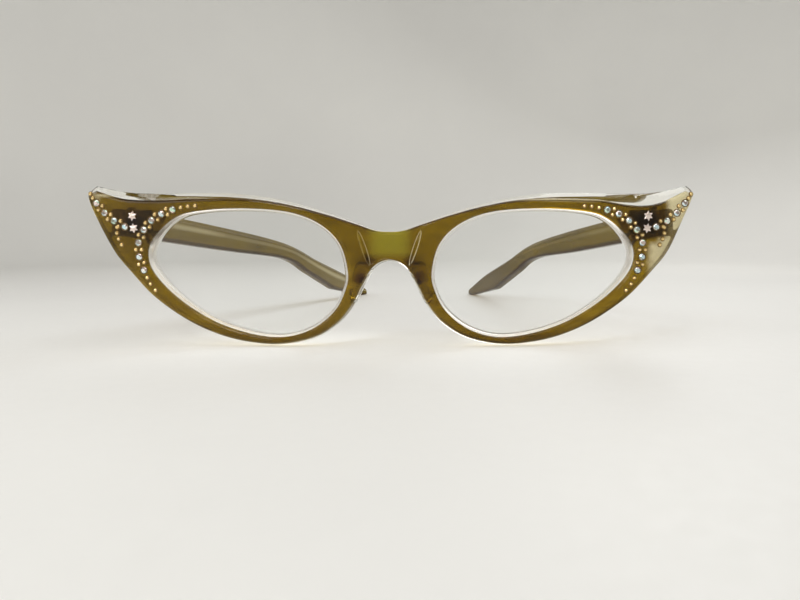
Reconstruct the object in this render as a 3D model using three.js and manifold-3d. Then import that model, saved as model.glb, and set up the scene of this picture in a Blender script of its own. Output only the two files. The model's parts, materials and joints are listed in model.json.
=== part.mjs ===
// Cat eye spectacles of the 1950s pattern, with clear lenses.
// The front is two acetate sheets cemented together, olive over clear, bent to a shallow curve.
// Each temple swings on a five-knuckle hinge held by two star-headed rivets, and each upper
// corner carries a spray of rhinestones.
//
// Millimetres. X runs across the front, Y from the front back along the temples, Z up.
// The rims and the temple tips stand on Z = 0, and the origin is under the middle of the whole.
// Left is -X, as seen from in front.

import * as THREE from 'three'
import { mergeVertices } from 'three/addons/utils/BufferGeometryUtils.js'
import Module from 'manifold-3d'

// ---- driving dimensions ----

const OLIVE_THICKNESS = 1.2
const CRYSTAL_THICKNESS = 3.0
const BOND_GAP = 0.08
const FRONT_RADIUS = 420 // the front is wrapped round an upright cylinder of this radius
const COLUMN = 12 // widest strip of the front that stays flat

const ROUND_STEPS = 8 // sides of every small round piece and of the hole it goes in

const GROOVE_DEPTH = 0.8
const GROOVE_WIDTH = 1.6
const LENS_THICKNESS = 1.9
const LENS_BEVEL = 0.65
const LENS_INSET = 0.35
const LENS_RIDGE = 0.85

const PAD_DEPTH = 3.2
const PAD_ROUNDING = 0.5

const HINGE_ARC = 65.6 // hinge axis, measured along the curve of the front
const HINGE_OFFSET = 6.5 // hinge axis behind the olive face
const HINGE_BOTTOM = 26.6
const KNUCKLES = 5
const KNUCKLE_HEIGHT = 1.2
const KNUCKLE_GAP = 0.06
const KNUCKLE_RADIUS = 1.35
const LEAF_THICKNESS = 0.8
const LEAF_LENGTH = 7
const SCREW_RADIUS = 0.55
const SCREW_HEAD_RADIUS = 1.05
const SCREW_HEAD_HEIGHT = 0.6
const RUNNING_GAP = 0.06

const PIN_RADIUS = 0.6
const PIN_GAP = 0.06
const PEEN_RADIUS = 0.95
const PEEN_HEIGHT = 0.3
const STAR_RADIUS = 1.25
const STAR_WAIST = 0.72
const STAR_HEIGHT = 0.35
const STARS = [
  { name: 'upper', x: 62.0, z: 31.0 },
  { name: 'lower', x: 61.8, z: 28.1 }
]

const TEMPLE_THICKNESS = 3.6
const TEMPLE_EDGE = 0.5
const TEMPLE_STANDOFF = 1.6 // inner face of the temple, outboard of the hinge axis
const TEMPLE_START = -1.15 // front end of the temple, ahead of the hinge axis
const TEMPLE_LENGTH = 139 // hinge axis to tip
const TEMPLE_SWING = THREE.MathUtils.degToRad(18.5) // both temples stand part folded
const TEMPLE_RIVETS = [
  { name: 'front', s: 4.0, z: 29.7 },
  { name: 'rear', s: 7.4, z: 29.2 }
]
const TEMPLE_HEAD_RADIUS = 1.0

const STONE_RADIUS = 0.84
const STONE_TABLE = 0.46
const STONE_HEIGHT = 0.42
const STONE_SEAT = 0.45
const SPRAY = [
  { name: 'tip', count: 4, from: [64.2, 28.4], bend: [68.6, 30.2], to: [71.4, 34.1] },
  { name: 'brow', count: 4, from: [59.1, 27.3], bend: [56.8, 31.2], to: [51.8, 32.4] },
  { name: 'rim', count: 3, from: [60.6, 24.1], bend: [60.9, 20.6], to: [59.3, 17.4] }
]

// ---- outlines of the front, right half, in the flat sheet before it is bent ----

const BROW = [
  [0, 27.3], [3.4, 27.7], [7.8, 29.3], [14.4, 31.6], [22, 33.8], [29.6, 35.4],
  [37.6, 36.3], [46.7, 36.5], [56.1, 36.4], [65.1, 36.8], [73.9, 38.5]
]
const OLIVE_BROW = [
  [0, 27.2], [3.4, 27.5], [7.8, 29.0], [14.4, 31.1], [22, 33.1], [29.6, 34.5],
  [37.6, 35.1], [46.7, 35.0], [56.1, 34.7], [65.1, 35.2], [72.6, 37.2]
]
const LOWER_EDGE = [
  [74.6, 37.0], [73.0, 32.0], [68, 22.6], [63.7, 17.4], [57.6, 11.2], [49.4, 5.7],
  [41.3, 2.2], [33.6, 0.4], [25.9, 0.1], [18.1, 1.9], [12.3, 5.5], [8.4, 10.2],
  [6.6, 13.6], [4.7, 17.3], [2.8, 19.4], [0, 20.3]
]
const APERTURE = [
  [10.0, 17.9], [11.8, 24.3], [16.4, 28.9], [23.6, 31.7], [33.6, 32.6], [43.7, 32.3],
  [50.9, 30.9], [55.9, 27.0], [58.5, 22.3], [57.1, 17.3], [51.1, 11.1], [42.7, 5.9],
  [33.6, 3.0], [25.6, 2.3], [18.7, 4.3], [13.3, 8.5], [10.6, 13.5]
]
const PAD = [
  [9.0, 9.6], [7.0, 13.4], [5.4, 17.0], [5.6, 19.6], [8.0, 20.0], [9.2, 16.6], [10.0, 12.2]
]
const BROW_STEPS = 40
const LOWER_STEPS = 70
const APERTURE_STEPS = 36
const PAD_STEPS = 14

// The oval facet that ends each upswept corner: a point on it, and the way it faces.
const FACET_POINT = [72.6, 0.9, 37.6]
const FACET_FACING = [0.3, -0.6, 0.75]

// ---- side view of a temple: along it from the hinge axis, and up ----

const TEMPLE_TOP = [[0, 32.9], [20, 31.0], [70, 24.0], [96, 16.4], [120, 9.4]]
const TEMPLE_HEEL = [107, 4.7]
const TEMPLE_UNDER = [[116, 3.1], [125, 1.5]]
const TEMPLE_BOTTOM = [[88, 12.1], [72, 18.0], [40, 21.5], [0, 26.2]]
const TIP_REST = 6 // straight stretch under the tip that stands on the table
const TIP_HEIGHT = 2.0

// ---- materials ----

function acetate(color) {
  return new THREE.MeshStandardMaterial({ color, roughness: 0.2, metalness: 0 })
}

function metal(color) {
  return new THREE.MeshStandardMaterial({ color, roughness: 0.3, metalness: 1 })
}

const OLIVE = acetate(0x8a7430)
const CRYSTAL = acetate(0xe4e2cf)
const LENS = new THREE.MeshStandardMaterial({ color: 0xf2f6f4, roughness: 0.05, metalness: 0 })
const STONE = new THREE.MeshStandardMaterial({ color: 0xcfe8e2, roughness: 0.05, metalness: 0 })
const NICKEL = metal(0x9c968a)
const STAR_METAL = metal(0xe6cfc4)

// ---- solids: joining and cutting ----

const kernel = await Module()
kernel.setup()

// The same surface with shared corners, and without the flat triangles at a turned piece's poles.
function weld(geometry, reach = 1e-5) {
  const bare = geometry.clone()
  bare.deleteAttribute('normal')
  bare.deleteAttribute('uv')
  const merged = mergeVertices(bare, reach)
  const corners = merged.index.array
  const kept = []
  for (let i = 0; i < corners.length; i += 3) {
    const [a, b, c] = corners.slice(i, i + 3)
    if (a !== b && b !== c && c !== a) kept.push(a, b, c)
  }
  merged.setIndex(kept)
  return merged
}

function toSolid(geometry) {
  const welded = weld(geometry)
  const vertProperties = Float32Array.from(welded.attributes.position.array)
  const triVerts = Uint32Array.from(welded.index.array)
  return new kernel.Manifold(new kernel.Mesh({ numProp: 3, vertProperties, triVerts }))
}

function toGeometry(solid) {
  const mesh = solid.getMesh()
  const geometry = new THREE.BufferGeometry()
  geometry.setAttribute('position', new THREE.BufferAttribute(mesh.vertProperties, 3))
  geometry.setIndex(new THREE.BufferAttribute(mesh.triVerts, 1))
  return geometry
}

function join(...geometries) {
  return toGeometry(geometries.map(toSolid).reduce((whole, piece) => whole.add(piece)))
}

function cut(geometry, ...tools) {
  return toGeometry(tools.map(toSolid).reduce((rest, tool) => rest.subtract(tool), toSolid(geometry)))
}

// ---- outlines ----

function points2(list) {
  return list.map(([x, y]) => new THREE.Vector2(x, y))
}

function mirrorList(list) {
  return list.map(([x, y]) => [-x, y])
}

function openCurve(list, steps) {
  return new THREE.SplineCurve(points2(list)).getSpacedPoints(steps)
}

function closedCurve(list, steps) {
  const knots = list.map(([x, y]) => new THREE.Vector3(x, y, 0))
  const spaced = new THREE.CatmullRomCurve3(knots, true, 'centripetal').getSpacedPoints(steps)
  return spaced.slice(0, steps).map((p) => new THREE.Vector2(p.x, p.y))
}

// Both halves of an edge that crosses the bridge, as one list from left to right.
function acrossBridge(half) {
  return [...mirrorList(half).reverse(), ...half.slice(1)]
}

// Runs anticlockwise: along the lower edge to the right, then back along the brow.
function frontOutline(brow) {
  const top = openCurve(acrossBridge(brow), BROW_STEPS).reverse()
  const bottom = openCurve(acrossBridge([...LOWER_EDGE].reverse()), LOWER_STEPS)
  return [...bottom, ...top]
}

// A loop moved outwards by a distance, or inwards by a negative one.
function offsetLoop(loop, distance) {
  const turn = Math.sign(THREE.ShapeUtils.area(loop))
  return loop.map((point, i) => {
    const before = loop[(i + loop.length - 1) % loop.length]
    const after = loop[(i + 1) % loop.length]
    const along = after.clone().sub(before).normalize()
    return new THREE.Vector2(point.x + turn * along.y * distance, point.y - turn * along.x * distance)
  })
}

// ---- flat sheets standing in the XZ plane ----

function standUp(geometry, back) {
  geometry.rotateX(Math.PI / 2)
  geometry.translate(0, back, 0)
  return geometry
}

function sheet(loop, front, back, holes = []) {
  const shape = new THREE.Shape(loop)
  shape.holes = holes.map((hole) => new THREE.Path(hole))
  return standUp(new THREE.ExtrudeGeometry(shape, { depth: back - front, bevelEnabled: false }), back)
}

function bevelledSheet(loop, front, back, bevelThickness, bevelSize) {
  const depth = back - front - 2 * bevelThickness
  const options = { depth, bevelEnabled: true, bevelThickness, bevelSize, bevelSegments: 1 }
  const geometry = new THREE.ExtrudeGeometry(new THREE.Shape(loop), options)
  return standUp(geometry, back - bevelThickness)
}

// A round piece on an axis along Y, from a profile of [radius, position] pairs.
function turned(profile) {
  return weld(new THREE.LatheGeometry(points2(profile), ROUND_STEPS))
}

function pinProfile(radius, front, back) {
  return [[0, front], [radius, front], [radius, back], [0, back]]
}

// ---- bending the front ----

function lerpAt(a, b, x) {
  const [low, high] = a.x < b.x ? [a, b] : [b, a]
  const mid = low.clone().lerp(high, (x - low.x) / (high.x - low.x))
  mid.x = x
  return mid
}

// Divides one triangle by the upright plane at x, leaving out slivers at the plane.
function divideTriangle(corners, x) {
  const near = 0.15
  const sides = corners.map((corner) => (Math.abs(corner.x - x) < near ? 0 : Math.sign(corner.x - x)))
  if (!sides.includes(1) || !sides.includes(-1)) return [corners]
  const pieces = []
  for (const side of [-1, 1]) {
    const polygon = []
    corners.forEach((corner, i) => {
      const next = (i + 1) % 3
      if (sides[i] !== -side) polygon.push(corner)
      if (sides[i] * sides[next] < 0) polygon.push(lerpAt(corner, corners[next], x))
    })
    for (let i = 2; i < polygon.length; i += 1) pieces.push([polygon[0], polygon[i - 1], polygon[i]])
  }
  return pieces
}

function divideInColumns(geometry) {
  const loose = geometry.index ? geometry.toNonIndexed() : geometry
  const position = loose.attributes.position
  let triangles = []
  for (let i = 0; i < position.count; i += 3) {
    triangles.push([0, 1, 2].map((k) => new THREE.Vector3().fromBufferAttribute(position, i + k)))
  }
  const reach = Math.floor(HINGE_ARC / COLUMN + 1)
  for (let column = -reach; column <= reach; column += 1) {
    triangles = triangles.flatMap((corners) => divideTriangle(corners, column * COLUMN))
  }
  return weld(new THREE.BufferGeometry().setFromPoints(triangles.flat()), 0.01)
}

function onFront(arc, depth, z) {
  const angle = arc / FRONT_RADIUS
  const radius = FRONT_RADIUS - depth
  return new THREE.Vector3(radius * Math.sin(angle), FRONT_RADIUS - radius * Math.cos(angle), z)
}

function bend(geometry) {
  const bent = divideInColumns(geometry)
  const position = bent.attributes.position
  for (let i = 0; i < position.count; i += 1) {
    const point = onFront(position.getX(i), position.getY(i), position.getZ(i))
    position.setXYZ(i, point.x, point.y, point.z)
  }
  return bent
}

// ---- scene graph helpers ----

const spectacles = new THREE.Group()

function addMesh(parent, name, geometry, material) {
  const mesh = new THREE.Mesh(geometry, material)
  mesh.name = name
  parent.add(mesh)
  return mesh
}

// A small piece whose own Y axis points straight back through the front.
function addOnFront(name, geometry, material, arc, z) {
  const mesh = addMesh(spectacles, name, geometry, material)
  mesh.position.copy(onFront(arc, 0, z))
  mesh.rotation.z = arc / FRONT_RADIUS
}

function mirrored(geometry) {
  const copy = geometry.index ? geometry.toNonIndexed() : geometry.clone()
  copy.scale(-1, 1, 1)
  const position = copy.attributes.position
  const first = new THREE.Vector3()
  const last = new THREE.Vector3()
  for (let i = 0; i < position.count; i += 3) {
    first.fromBufferAttribute(position, i)
    last.fromBufferAttribute(position, i + 2)
    position.setXYZ(i, last.x, last.y, last.z)
    position.setXYZ(i + 2, first.x, first.y, first.z)
  }
  return copy
}

const SIDES = [
  { name: 'left', sign: -1, handed: mirrored },
  { name: 'right', sign: 1, handed: (geometry) => geometry }
]

// ---- the front ----

const CRYSTAL_FRONT = OLIVE_THICKNESS + BOND_GAP
const FRONT_BACK = CRYSTAL_FRONT + CRYSTAL_THICKNESS
const GROOVE_FRONT = CRYSTAL_FRONT + (CRYSTAL_THICKNESS - GROOVE_WIDTH) / 2
const LENS_FRONT = CRYSTAL_FRONT + (CRYSTAL_THICKNESS - LENS_THICKNESS) / 2

const apertureRight = closedCurve(APERTURE, APERTURE_STEPS)
const apertureLeft = closedCurve(mirrorList(APERTURE), APERTURE_STEPS)
const apertures = [apertureLeft, apertureRight]

function stonePlaces() {
  return SPRAY.flatMap(({ name, count, from, bend: middle, to }) => {
    const arm = new THREE.QuadraticBezierCurve(...points2([from, middle, to]))
    return arm.getSpacedPoints(count - 1).map((place, i) => ({ name: `${name}_${i + 1}`, place }))
  })
}

function drill(x, z, radius, front, back) {
  return turned(pinProfile(radius, front, back)).translate(x, 0, z)
}

function rivetHoles(sign) {
  return STARS.map(({ x, z }) => drill(sign * x, z, PIN_RADIUS + PIN_GAP, -2, FRONT_BACK + 2))
}

function stonePockets(sign) {
  const radius = STONE_RADIUS + PIN_GAP
  const floor = STONE_SEAT + PIN_GAP
  return stonePlaces().map(({ place }) => drill(sign * place.x, place.y, radius, -2, floor))
}

// A block whose underside is the corner facet, to be cut away from the tip.
function facetCutter(sign) {
  const size = 20
  const facing = new THREE.Vector3(...FACET_FACING).normalize()
  const block = new THREE.BoxGeometry(size, size, size).translate(0, 0, size / 2)
  block.applyQuaternion(new THREE.Quaternion().setFromUnitVectors(new THREE.Vector3(0, 0, 1), facing))
  block.translate(...FACET_POINT)
  return sign > 0 ? block : mirrored(block)
}

function oliveLayer() {
  const flat = sheet(frontOutline(OLIVE_BROW), 0, OLIVE_THICKNESS, apertures)
  const cutters = [1, -1].flatMap((s) => [...rivetHoles(s), ...stonePockets(s), facetCutter(s)])
  return bend(cut(flat, ...cutters))
}

function crystalLayer() {
  const flat = sheet(frontOutline(BROW), CRYSTAL_FRONT, FRONT_BACK, apertures)
  const groove = apertures.map((loop) =>
    sheet(offsetLoop(loop, GROOVE_DEPTH), GROOVE_FRONT, GROOVE_FRONT + GROOVE_WIDTH)
  )
  const cutters = [1, -1].flatMap((s) => [...rivetHoles(s), facetCutter(s)])
  return bend(cut(flat, ...groove, ...cutters))
}

function lens(loop) {
  const edge = offsetLoop(loop, -LENS_INSET)
  return bend(bevelledSheet(edge, LENS_FRONT, LENS_FRONT + LENS_THICKNESS, LENS_BEVEL, LENS_RIDGE))
}

function nosePad(sign) {
  const loop = closedCurve(sign > 0 ? PAD : mirrorList(PAD), PAD_STEPS)
  const inner = offsetLoop(loop, -PAD_ROUNDING)
  const front = FRONT_BACK + BOND_GAP
  return bend(bevelledSheet(inner, front, front + PAD_DEPTH, PAD_ROUNDING, PAD_ROUNDING))
}

addMesh(spectacles, 'front_olive_layer', oliveLayer(), OLIVE)
addMesh(spectacles, 'front_crystal_layer', crystalLayer(), CRYSTAL)
for (const { name, sign } of SIDES) {
  addMesh(spectacles, `lens_${name}`, lens(sign > 0 ? apertureRight : apertureLeft), LENS)
  addMesh(spectacles, `nose_pad_${name}`, nosePad(sign), CRYSTAL)
}

// ---- rhinestones ----

function rhinestone() {
  const profile = [[0, -STONE_HEIGHT], [STONE_TABLE, -STONE_HEIGHT], [STONE_RADIUS, 0],
    [STONE_RADIUS, STONE_SEAT], [0, STONE_SEAT]]
  return turned(profile)
}

for (const { name: side, sign } of SIDES) {
  for (const { name, place } of stonePlaces()) {
    addOnFront(`rhinestone_${name}_${side}`, rhinestone(), STONE, sign * place.x, place.y)
  }
}

// ---- star rivets: star head, pin through both sheets and the leaf, peened at the back ----

const LEAF_FRONT = FRONT_BACK + 0.1
const LEAF_BACK = LEAF_FRONT + LEAF_THICKNESS

function starShape() {
  const points = []
  for (let i = 0; i < 12; i += 1) {
    const radius = i % 2 ? STAR_WAIST : STAR_RADIUS
    const angle = (i * Math.PI) / 6 + Math.PI / 2
    points.push(new THREE.Vector2(radius * Math.cos(angle), radius * Math.sin(angle)))
  }
  return points
}

function starRivet() {
  const head = sheet(starShape(), -STAR_HEIGHT - PIN_GAP, -PIN_GAP)
  const back = LEAF_BACK + PIN_GAP
  const pin = turned([[0, -STAR_HEIGHT], [PIN_RADIUS, -STAR_HEIGHT], [PIN_RADIUS, back],
    [PEEN_RADIUS, back], [PIN_RADIUS, back + PEEN_HEIGHT], [0, back + PEEN_HEIGHT]])
  return join(head, pin)
}

for (const { name: side, sign } of SIDES) {
  for (const { name, x, z } of STARS) {
    addOnFront(`star_rivet_${name}_${side}`, starRivet(), STAR_METAL, sign * x, z)
  }
}

// ---- hinges, each built on the right with its axis at the origin ----

const HINGE_AT = onFront(HINGE_ARC, HINGE_OFFSET, 0)
const HINGE_ANGLE = HINGE_ARC / FRONT_RADIUS
const HINGE_TOP = HINGE_BOTTOM + KNUCKLES * KNUCKLE_HEIGHT

function block(x0, x1, y0, y1, z0, z1) {
  const box = new THREE.BoxGeometry(x1 - x0, y1 - y0, z1 - z0)
  return box.translate((x0 + x1) / 2, (y0 + y1) / 2, (z0 + z1) / 2)
}

function upright(profile) {
  return turned(profile).rotateX(Math.PI / 2)
}

function knuckleSpan(i) {
  const bottom = HINGE_BOTTOM + i * KNUCKLE_HEIGHT
  return [bottom + KNUCKLE_GAP / 2, bottom + KNUCKLE_HEIGHT - KNUCKLE_GAP / 2]
}

// A leaf's knuckles, each with the tab that joins it to the plate, bored for the screw.
function knuckledLeaf(plate, rows, tab) {
  const knuckles = rows.flatMap((i) => {
    const [low, high] = knuckleSpan(i)
    const barrel = upright(pinProfile(KNUCKLE_RADIUS, low, high))
    return [barrel, block(...tab, low, high)]
  })
  const bore = upright(pinProfile(SCREW_RADIUS + RUNNING_GAP, HINGE_BOTTOM - 2, HINGE_TOP + 2))
  return cut(join(plate, ...knuckles), bore)
}

// The axis lies HINGE_OFFSET behind the olive face, so the front leaf is ahead of the origin.
function frontLeaf() {
  const front = LEAF_FRONT - HINGE_OFFSET
  const back = LEAF_BACK - HINGE_OFFSET
  const edge = -KNUCKLE_RADIUS - 0.1
  const plate = block(-LEAF_LENGTH, edge, front, back, HINGE_BOTTOM + 0.1, HINGE_TOP - 0.1)
  const holes = STARS.map(({ x, z }) => {
    return turned(pinProfile(PIN_RADIUS + PIN_GAP, -4, 4)).translate(x - HINGE_ARC, 0, z)
  })
  const tab = [edge - 0.6, -0.8, front, -0.2]
  return cut(knuckledLeaf(plate, [0, 2, 4], tab), ...holes)
}

function templeLeaf() {
  const outer = TEMPLE_STANDOFF - BOND_GAP
  const inner = outer - LEAF_THICKNESS
  const start = KNUCKLE_RADIUS + 0.1
  const plate = block(inner, outer, start, start + LEAF_LENGTH, HINGE_BOTTOM + 0.3, HINGE_TOP - 0.3)
  const holes = TEMPLE_RIVETS.map(({ s, z }) => crossPin(PIN_RADIUS + PIN_GAP, -4, 8, s, z))
  const tab = [inner, outer, 0.5, start + 0.4]
  return cut(knuckledLeaf(plate, [1, 3], tab), ...holes)
}

function screw() {
  const body = upright([[0, HINGE_BOTTOM], [SCREW_RADIUS, HINGE_BOTTOM],
    [SCREW_RADIUS, HINGE_TOP + KNUCKLE_GAP], [SCREW_HEAD_RADIUS, HINGE_TOP + KNUCKLE_GAP],
    [SCREW_HEAD_RADIUS, HINGE_TOP + SCREW_HEAD_HEIGHT], [0, HINGE_TOP + SCREW_HEAD_HEIGHT]])
  const slot = block(-2, 2, -0.15, 0.15, HINGE_TOP + SCREW_HEAD_HEIGHT / 2, HINGE_TOP + 2)
  return cut(body, slot)
}

// A pin along X through a temple, at s along it and height z.
function crossPin(radius, from, to, s, z) {
  return turned(pinProfile(radius, from, to)).rotateZ(-Math.PI / 2).translate(0, s, z)
}

// ---- temples ----

function templeOutline() {
  const top = points2(TEMPLE_TOP)
  const slope = (top[1].y - top[0].y) / (top[1].x - top[0].x)
  const head = new THREE.Vector2(TEMPLE_START, top[0].y + slope * TEMPLE_START)
  const foot = new THREE.Vector2(TEMPLE_START, TEMPLE_BOTTOM.at(-1)[1])
  const upper = new THREE.SplineCurve([head, ...top.slice(1), new THREE.Vector2(TEMPLE_LENGTH, TIP_HEIGHT)])
  const under = new THREE.SplineCurve(points2([TEMPLE_HEEL, ...TEMPLE_UNDER, [TEMPLE_LENGTH - TIP_REST, 0]]))
  const lower = new THREE.SplineCurve([...points2([TEMPLE_HEEL, ...TEMPLE_BOTTOM.slice(0, -1)]), foot])
  return [
    ...upper.getSpacedPoints(26).reverse(),
    ...lower.getSpacedPoints(22).reverse(),
    ...under.getSpacedPoints(6).slice(1),
    new THREE.Vector2(TEMPLE_LENGTH, 0)
  ]
}

// The side view is drawn as (s, z), then turned so that s runs along Y and the thickness along X.
function temple() {
  const loop = offsetLoop(templeOutline(), -TEMPLE_EDGE)
  const depth = TEMPLE_THICKNESS - 2 * TEMPLE_EDGE
  const options = { depth, bevelEnabled: true, bevelThickness: TEMPLE_EDGE, bevelSize: TEMPLE_EDGE,
    bevelSegments: 1 }
  const geometry = new THREE.ExtrudeGeometry(new THREE.Shape(loop), options)
  geometry.rotateX(Math.PI / 2)
  geometry.rotateZ(Math.PI / 2)
  geometry.computeBoundingBox()
  geometry.translate(TEMPLE_STANDOFF - geometry.boundingBox.min.x, 0, 0)
  const holes = TEMPLE_RIVETS.map(({ s, z }) => crossPin(PIN_RADIUS + PIN_GAP, -4, 9, s, z))
  return cut(geometry, ...holes)
}

function templeRivet(s, z) {
  const inner = TEMPLE_STANDOFF - BOND_GAP - LEAF_THICKNESS - PIN_GAP
  const outer = TEMPLE_STANDOFF + TEMPLE_THICKNESS + PIN_GAP
  const rivet = turned([[0, inner - PEEN_HEIGHT], [PIN_RADIUS, inner - PEEN_HEIGHT], [PEEN_RADIUS, inner],
    [PIN_RADIUS, inner], [PIN_RADIUS, outer], [TEMPLE_HEAD_RADIUS, outer],
    [PIN_RADIUS, outer + PEEN_HEIGHT], [0, outer + PEEN_HEIGHT]])
  return rivet.rotateZ(-Math.PI / 2).translate(0, s, z)
}

for (const { name: side, sign, handed } of SIDES) {
  const hinge = new THREE.Group()
  hinge.position.set(sign * HINGE_AT.x, HINGE_AT.y, 0)
  spectacles.add(hinge)

  const fixed = new THREE.Group()
  fixed.rotation.z = sign * HINGE_ANGLE
  hinge.add(fixed)
  addMesh(fixed, `hinge_leaf_front_${side}`, handed(frontLeaf()), NICKEL)
  addMesh(fixed, `hinge_screw_${side}`, handed(screw()), NICKEL)

  const swinging = new THREE.Group()
  swinging.rotation.z = sign * TEMPLE_SWING
  hinge.add(swinging)
  addMesh(swinging, `hinge_leaf_temple_${side}`, handed(templeLeaf()), NICKEL)
  addMesh(swinging, `temple_${side}`, handed(temple()), OLIVE)
  for (const { name, s, z } of TEMPLE_RIVETS) {
    addMesh(swinging, `temple_rivet_${name}_${side}`, handed(templeRivet(s, z)), NICKEL)
  }
}

// ---- the origin goes on the table under the middle of the whole object ----

const extent = new THREE.Box3().setFromObject(spectacles, true)
spectacles.position.y = -(extent.min.y + extent.max.y) / 2
spectacles.position.z = -extent.min.z

const group = new THREE.Group()
group.add(spectacles)

export default group
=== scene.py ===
# %% [markdown]
# # Cat eye spectacles
# A pair of 1950s spectacles: a front of two cemented acetate sheets, olive over clear, with
# upswept corners set with rhinestones and gold studs, and two olive temples on metal hinges.
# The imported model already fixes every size, place and hinge axis. This lesson builds the finely
# shaped and finished pieces around it, in metres, in the same frame.

# %% Load the frame
import json
import math

import bmesh
import bpy
import numpy as np
from mathutils import Euler, Matrix, Vector
from mathutils.geometry import delaunay_2d_cdt


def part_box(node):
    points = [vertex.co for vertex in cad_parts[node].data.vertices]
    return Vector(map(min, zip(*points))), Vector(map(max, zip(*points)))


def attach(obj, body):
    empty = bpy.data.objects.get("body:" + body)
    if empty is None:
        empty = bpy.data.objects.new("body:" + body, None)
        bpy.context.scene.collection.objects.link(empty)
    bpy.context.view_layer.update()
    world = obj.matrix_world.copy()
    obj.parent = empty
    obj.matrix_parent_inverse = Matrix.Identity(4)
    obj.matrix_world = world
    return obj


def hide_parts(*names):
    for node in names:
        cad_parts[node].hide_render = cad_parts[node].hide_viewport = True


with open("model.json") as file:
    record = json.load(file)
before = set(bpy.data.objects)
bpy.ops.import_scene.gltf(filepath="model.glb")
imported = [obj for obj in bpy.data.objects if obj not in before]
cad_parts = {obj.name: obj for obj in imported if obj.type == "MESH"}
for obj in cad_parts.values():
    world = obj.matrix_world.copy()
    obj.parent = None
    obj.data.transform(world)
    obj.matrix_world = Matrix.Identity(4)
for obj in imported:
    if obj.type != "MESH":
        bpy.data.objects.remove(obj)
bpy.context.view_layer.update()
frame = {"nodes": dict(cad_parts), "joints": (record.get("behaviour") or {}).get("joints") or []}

MM = 0.001
joints = {joint["name"]: joint for joint in frame["joints"]}
print("CAD nodes:", len(frame["nodes"]), "joints:", sorted(joints))

# %% [markdown]
# The camera stands a hand's length in front of the spectacles and a little above the bridge, as
# someone picking them up would see them. A short distance gives the strong perspective that makes
# the temples close up behind the lenses. It is tipped down a little, and a small sideways shift of
# the lens sets the spectacles off centre without turning the view.

# %% Camera
CAMERA_AHEAD = 158 * MM  # in front of the olive face
CAMERA_ASIDE = 13.9 * MM
CAMERA_HEIGHT = 26.4 * MM
CAMERA_TURN = math.radians(-0.15)
CAMERA_TIP = math.radians(5.5)
CAMERA_LENS = 30.28
CAMERA_SHIFT = -0.063

front_low, _ = (Vector(corner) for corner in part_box("front_olive_layer"))
camera_data = bpy.data.cameras.new("camera")
camera_data.lens = CAMERA_LENS
camera_data.sensor_width = 36
camera_data.shift_x = CAMERA_SHIFT
camera_data.clip_start = 0.01
camera = bpy.data.objects.new("camera", camera_data)
camera.location = (CAMERA_ASIDE, front_low.y - CAMERA_AHEAD, CAMERA_HEIGHT)
camera.rotation_euler = (math.pi / 2 - CAMERA_TIP, 0, CAMERA_TURN)
bpy.context.scene.collection.objects.link(camera)
bpy.context.scene.camera = camera
print("camera at", [round(value, 4) for value in camera.location])

# %% [markdown]
# Clear plastic only looks clear when there is something pale and even to see through it, and
# polished edges need bright shapes to mirror. So the set is a pale floor that curves up into a
# backdrop on every side, three broad soft lamps above, to the left and behind, and one small
# lamp in front that makes the stones and studs sparkle.


# %% Floor and lamps
FLOOR_RADIUS = 0.62
COVE_HEIGHT = 0.42
COVE_BEND = 0.16


def cove_profile():
    """Radius and height from the middle of the floor, up the bend, to the top of the wall."""
    points = [(0.0, 0.0), (0.2, 0.0), (0.4, 0.0), (FLOOR_RADIUS - COVE_BEND, 0.0)]
    for step in range(1, 13):
        angle = step * math.pi / 24
        radius = FLOOR_RADIUS - COVE_BEND + COVE_BEND * math.sin(angle)
        points.append((radius, COVE_BEND - COVE_BEND * math.cos(angle)))
    points.append((FLOOR_RADIUS, COVE_HEIGHT + COVE_BEND))
    return points


def make_cove():
    """A round studio cove, built as a turned sheet facing inwards."""
    sides = 96
    mesh = bmesh.new()
    rings = []
    for radius, height in cove_profile()[1:]:
        ring = []
        for side in range(sides):
            angle = 2 * math.pi * side / sides
            ring.append(mesh.verts.new((radius * math.cos(angle), radius * math.sin(angle),
                                        height)))
        rings.append(ring)
    mesh.faces.new(rings[0])
    for low, high in zip(rings, rings[1:]):
        for side in range(sides):
            after = (side + 1) % sides
            mesh.faces.new((low[side], high[side], high[after], low[after]))
    data = bpy.data.meshes.new("cove")
    mesh.to_mesh(data)
    mesh.free()
    data.shade_smooth()
    return bpy.data.objects.new("cove", data)


def soft_lamp(name, place, aim, size, watts):
    """A square area lamp at place, turned to face aim."""
    data = bpy.data.lights.new(name, "AREA")
    data.shape = "RECTANGLE"
    data.size, data.size_y = size
    data.energy = watts
    lamp = bpy.data.objects.new(name, data)
    lamp.location = place
    lamp.rotation_euler = (Vector(aim) - Vector(place)).to_track_quat("-Z", "Y").to_euler()
    bpy.context.scene.collection.objects.link(lamp)
    return lamp


cove = make_cove()
bpy.context.scene.collection.objects.link(cove)
soft_lamp("lamp_above", (0.05, -0.10, 0.52), (0, -0.02, 0.02), (0.55, 0.45), 1.36)
soft_lamp("lamp_left", (-0.42, -0.34, 0.30), (0, -0.03, 0.02), (0.30, 0.35), 0.90)
soft_lamp("lamp_back", (0.25, 0.42, 0.34), (0, -0.03, 0.02), (0.30, 0.25), 0.75)
soft_lamp("lamp_spark", (-0.12, -0.34, 0.30), (0, -0.03, 0.02), (0.10, 0.10), 0.28)

world = bpy.data.worlds.new("studio")
world.use_nodes = True
sky = world.node_tree.nodes["Background"]
sky.inputs["Color"].default_value = (0.99, 0.985, 0.95, 1)
sky.inputs["Strength"].default_value = 0.20
bpy.context.scene.world = world
bpy.context.scene.view_settings.view_transform = "Standard"
print("floor radius", FLOOR_RADIUS)

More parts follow.
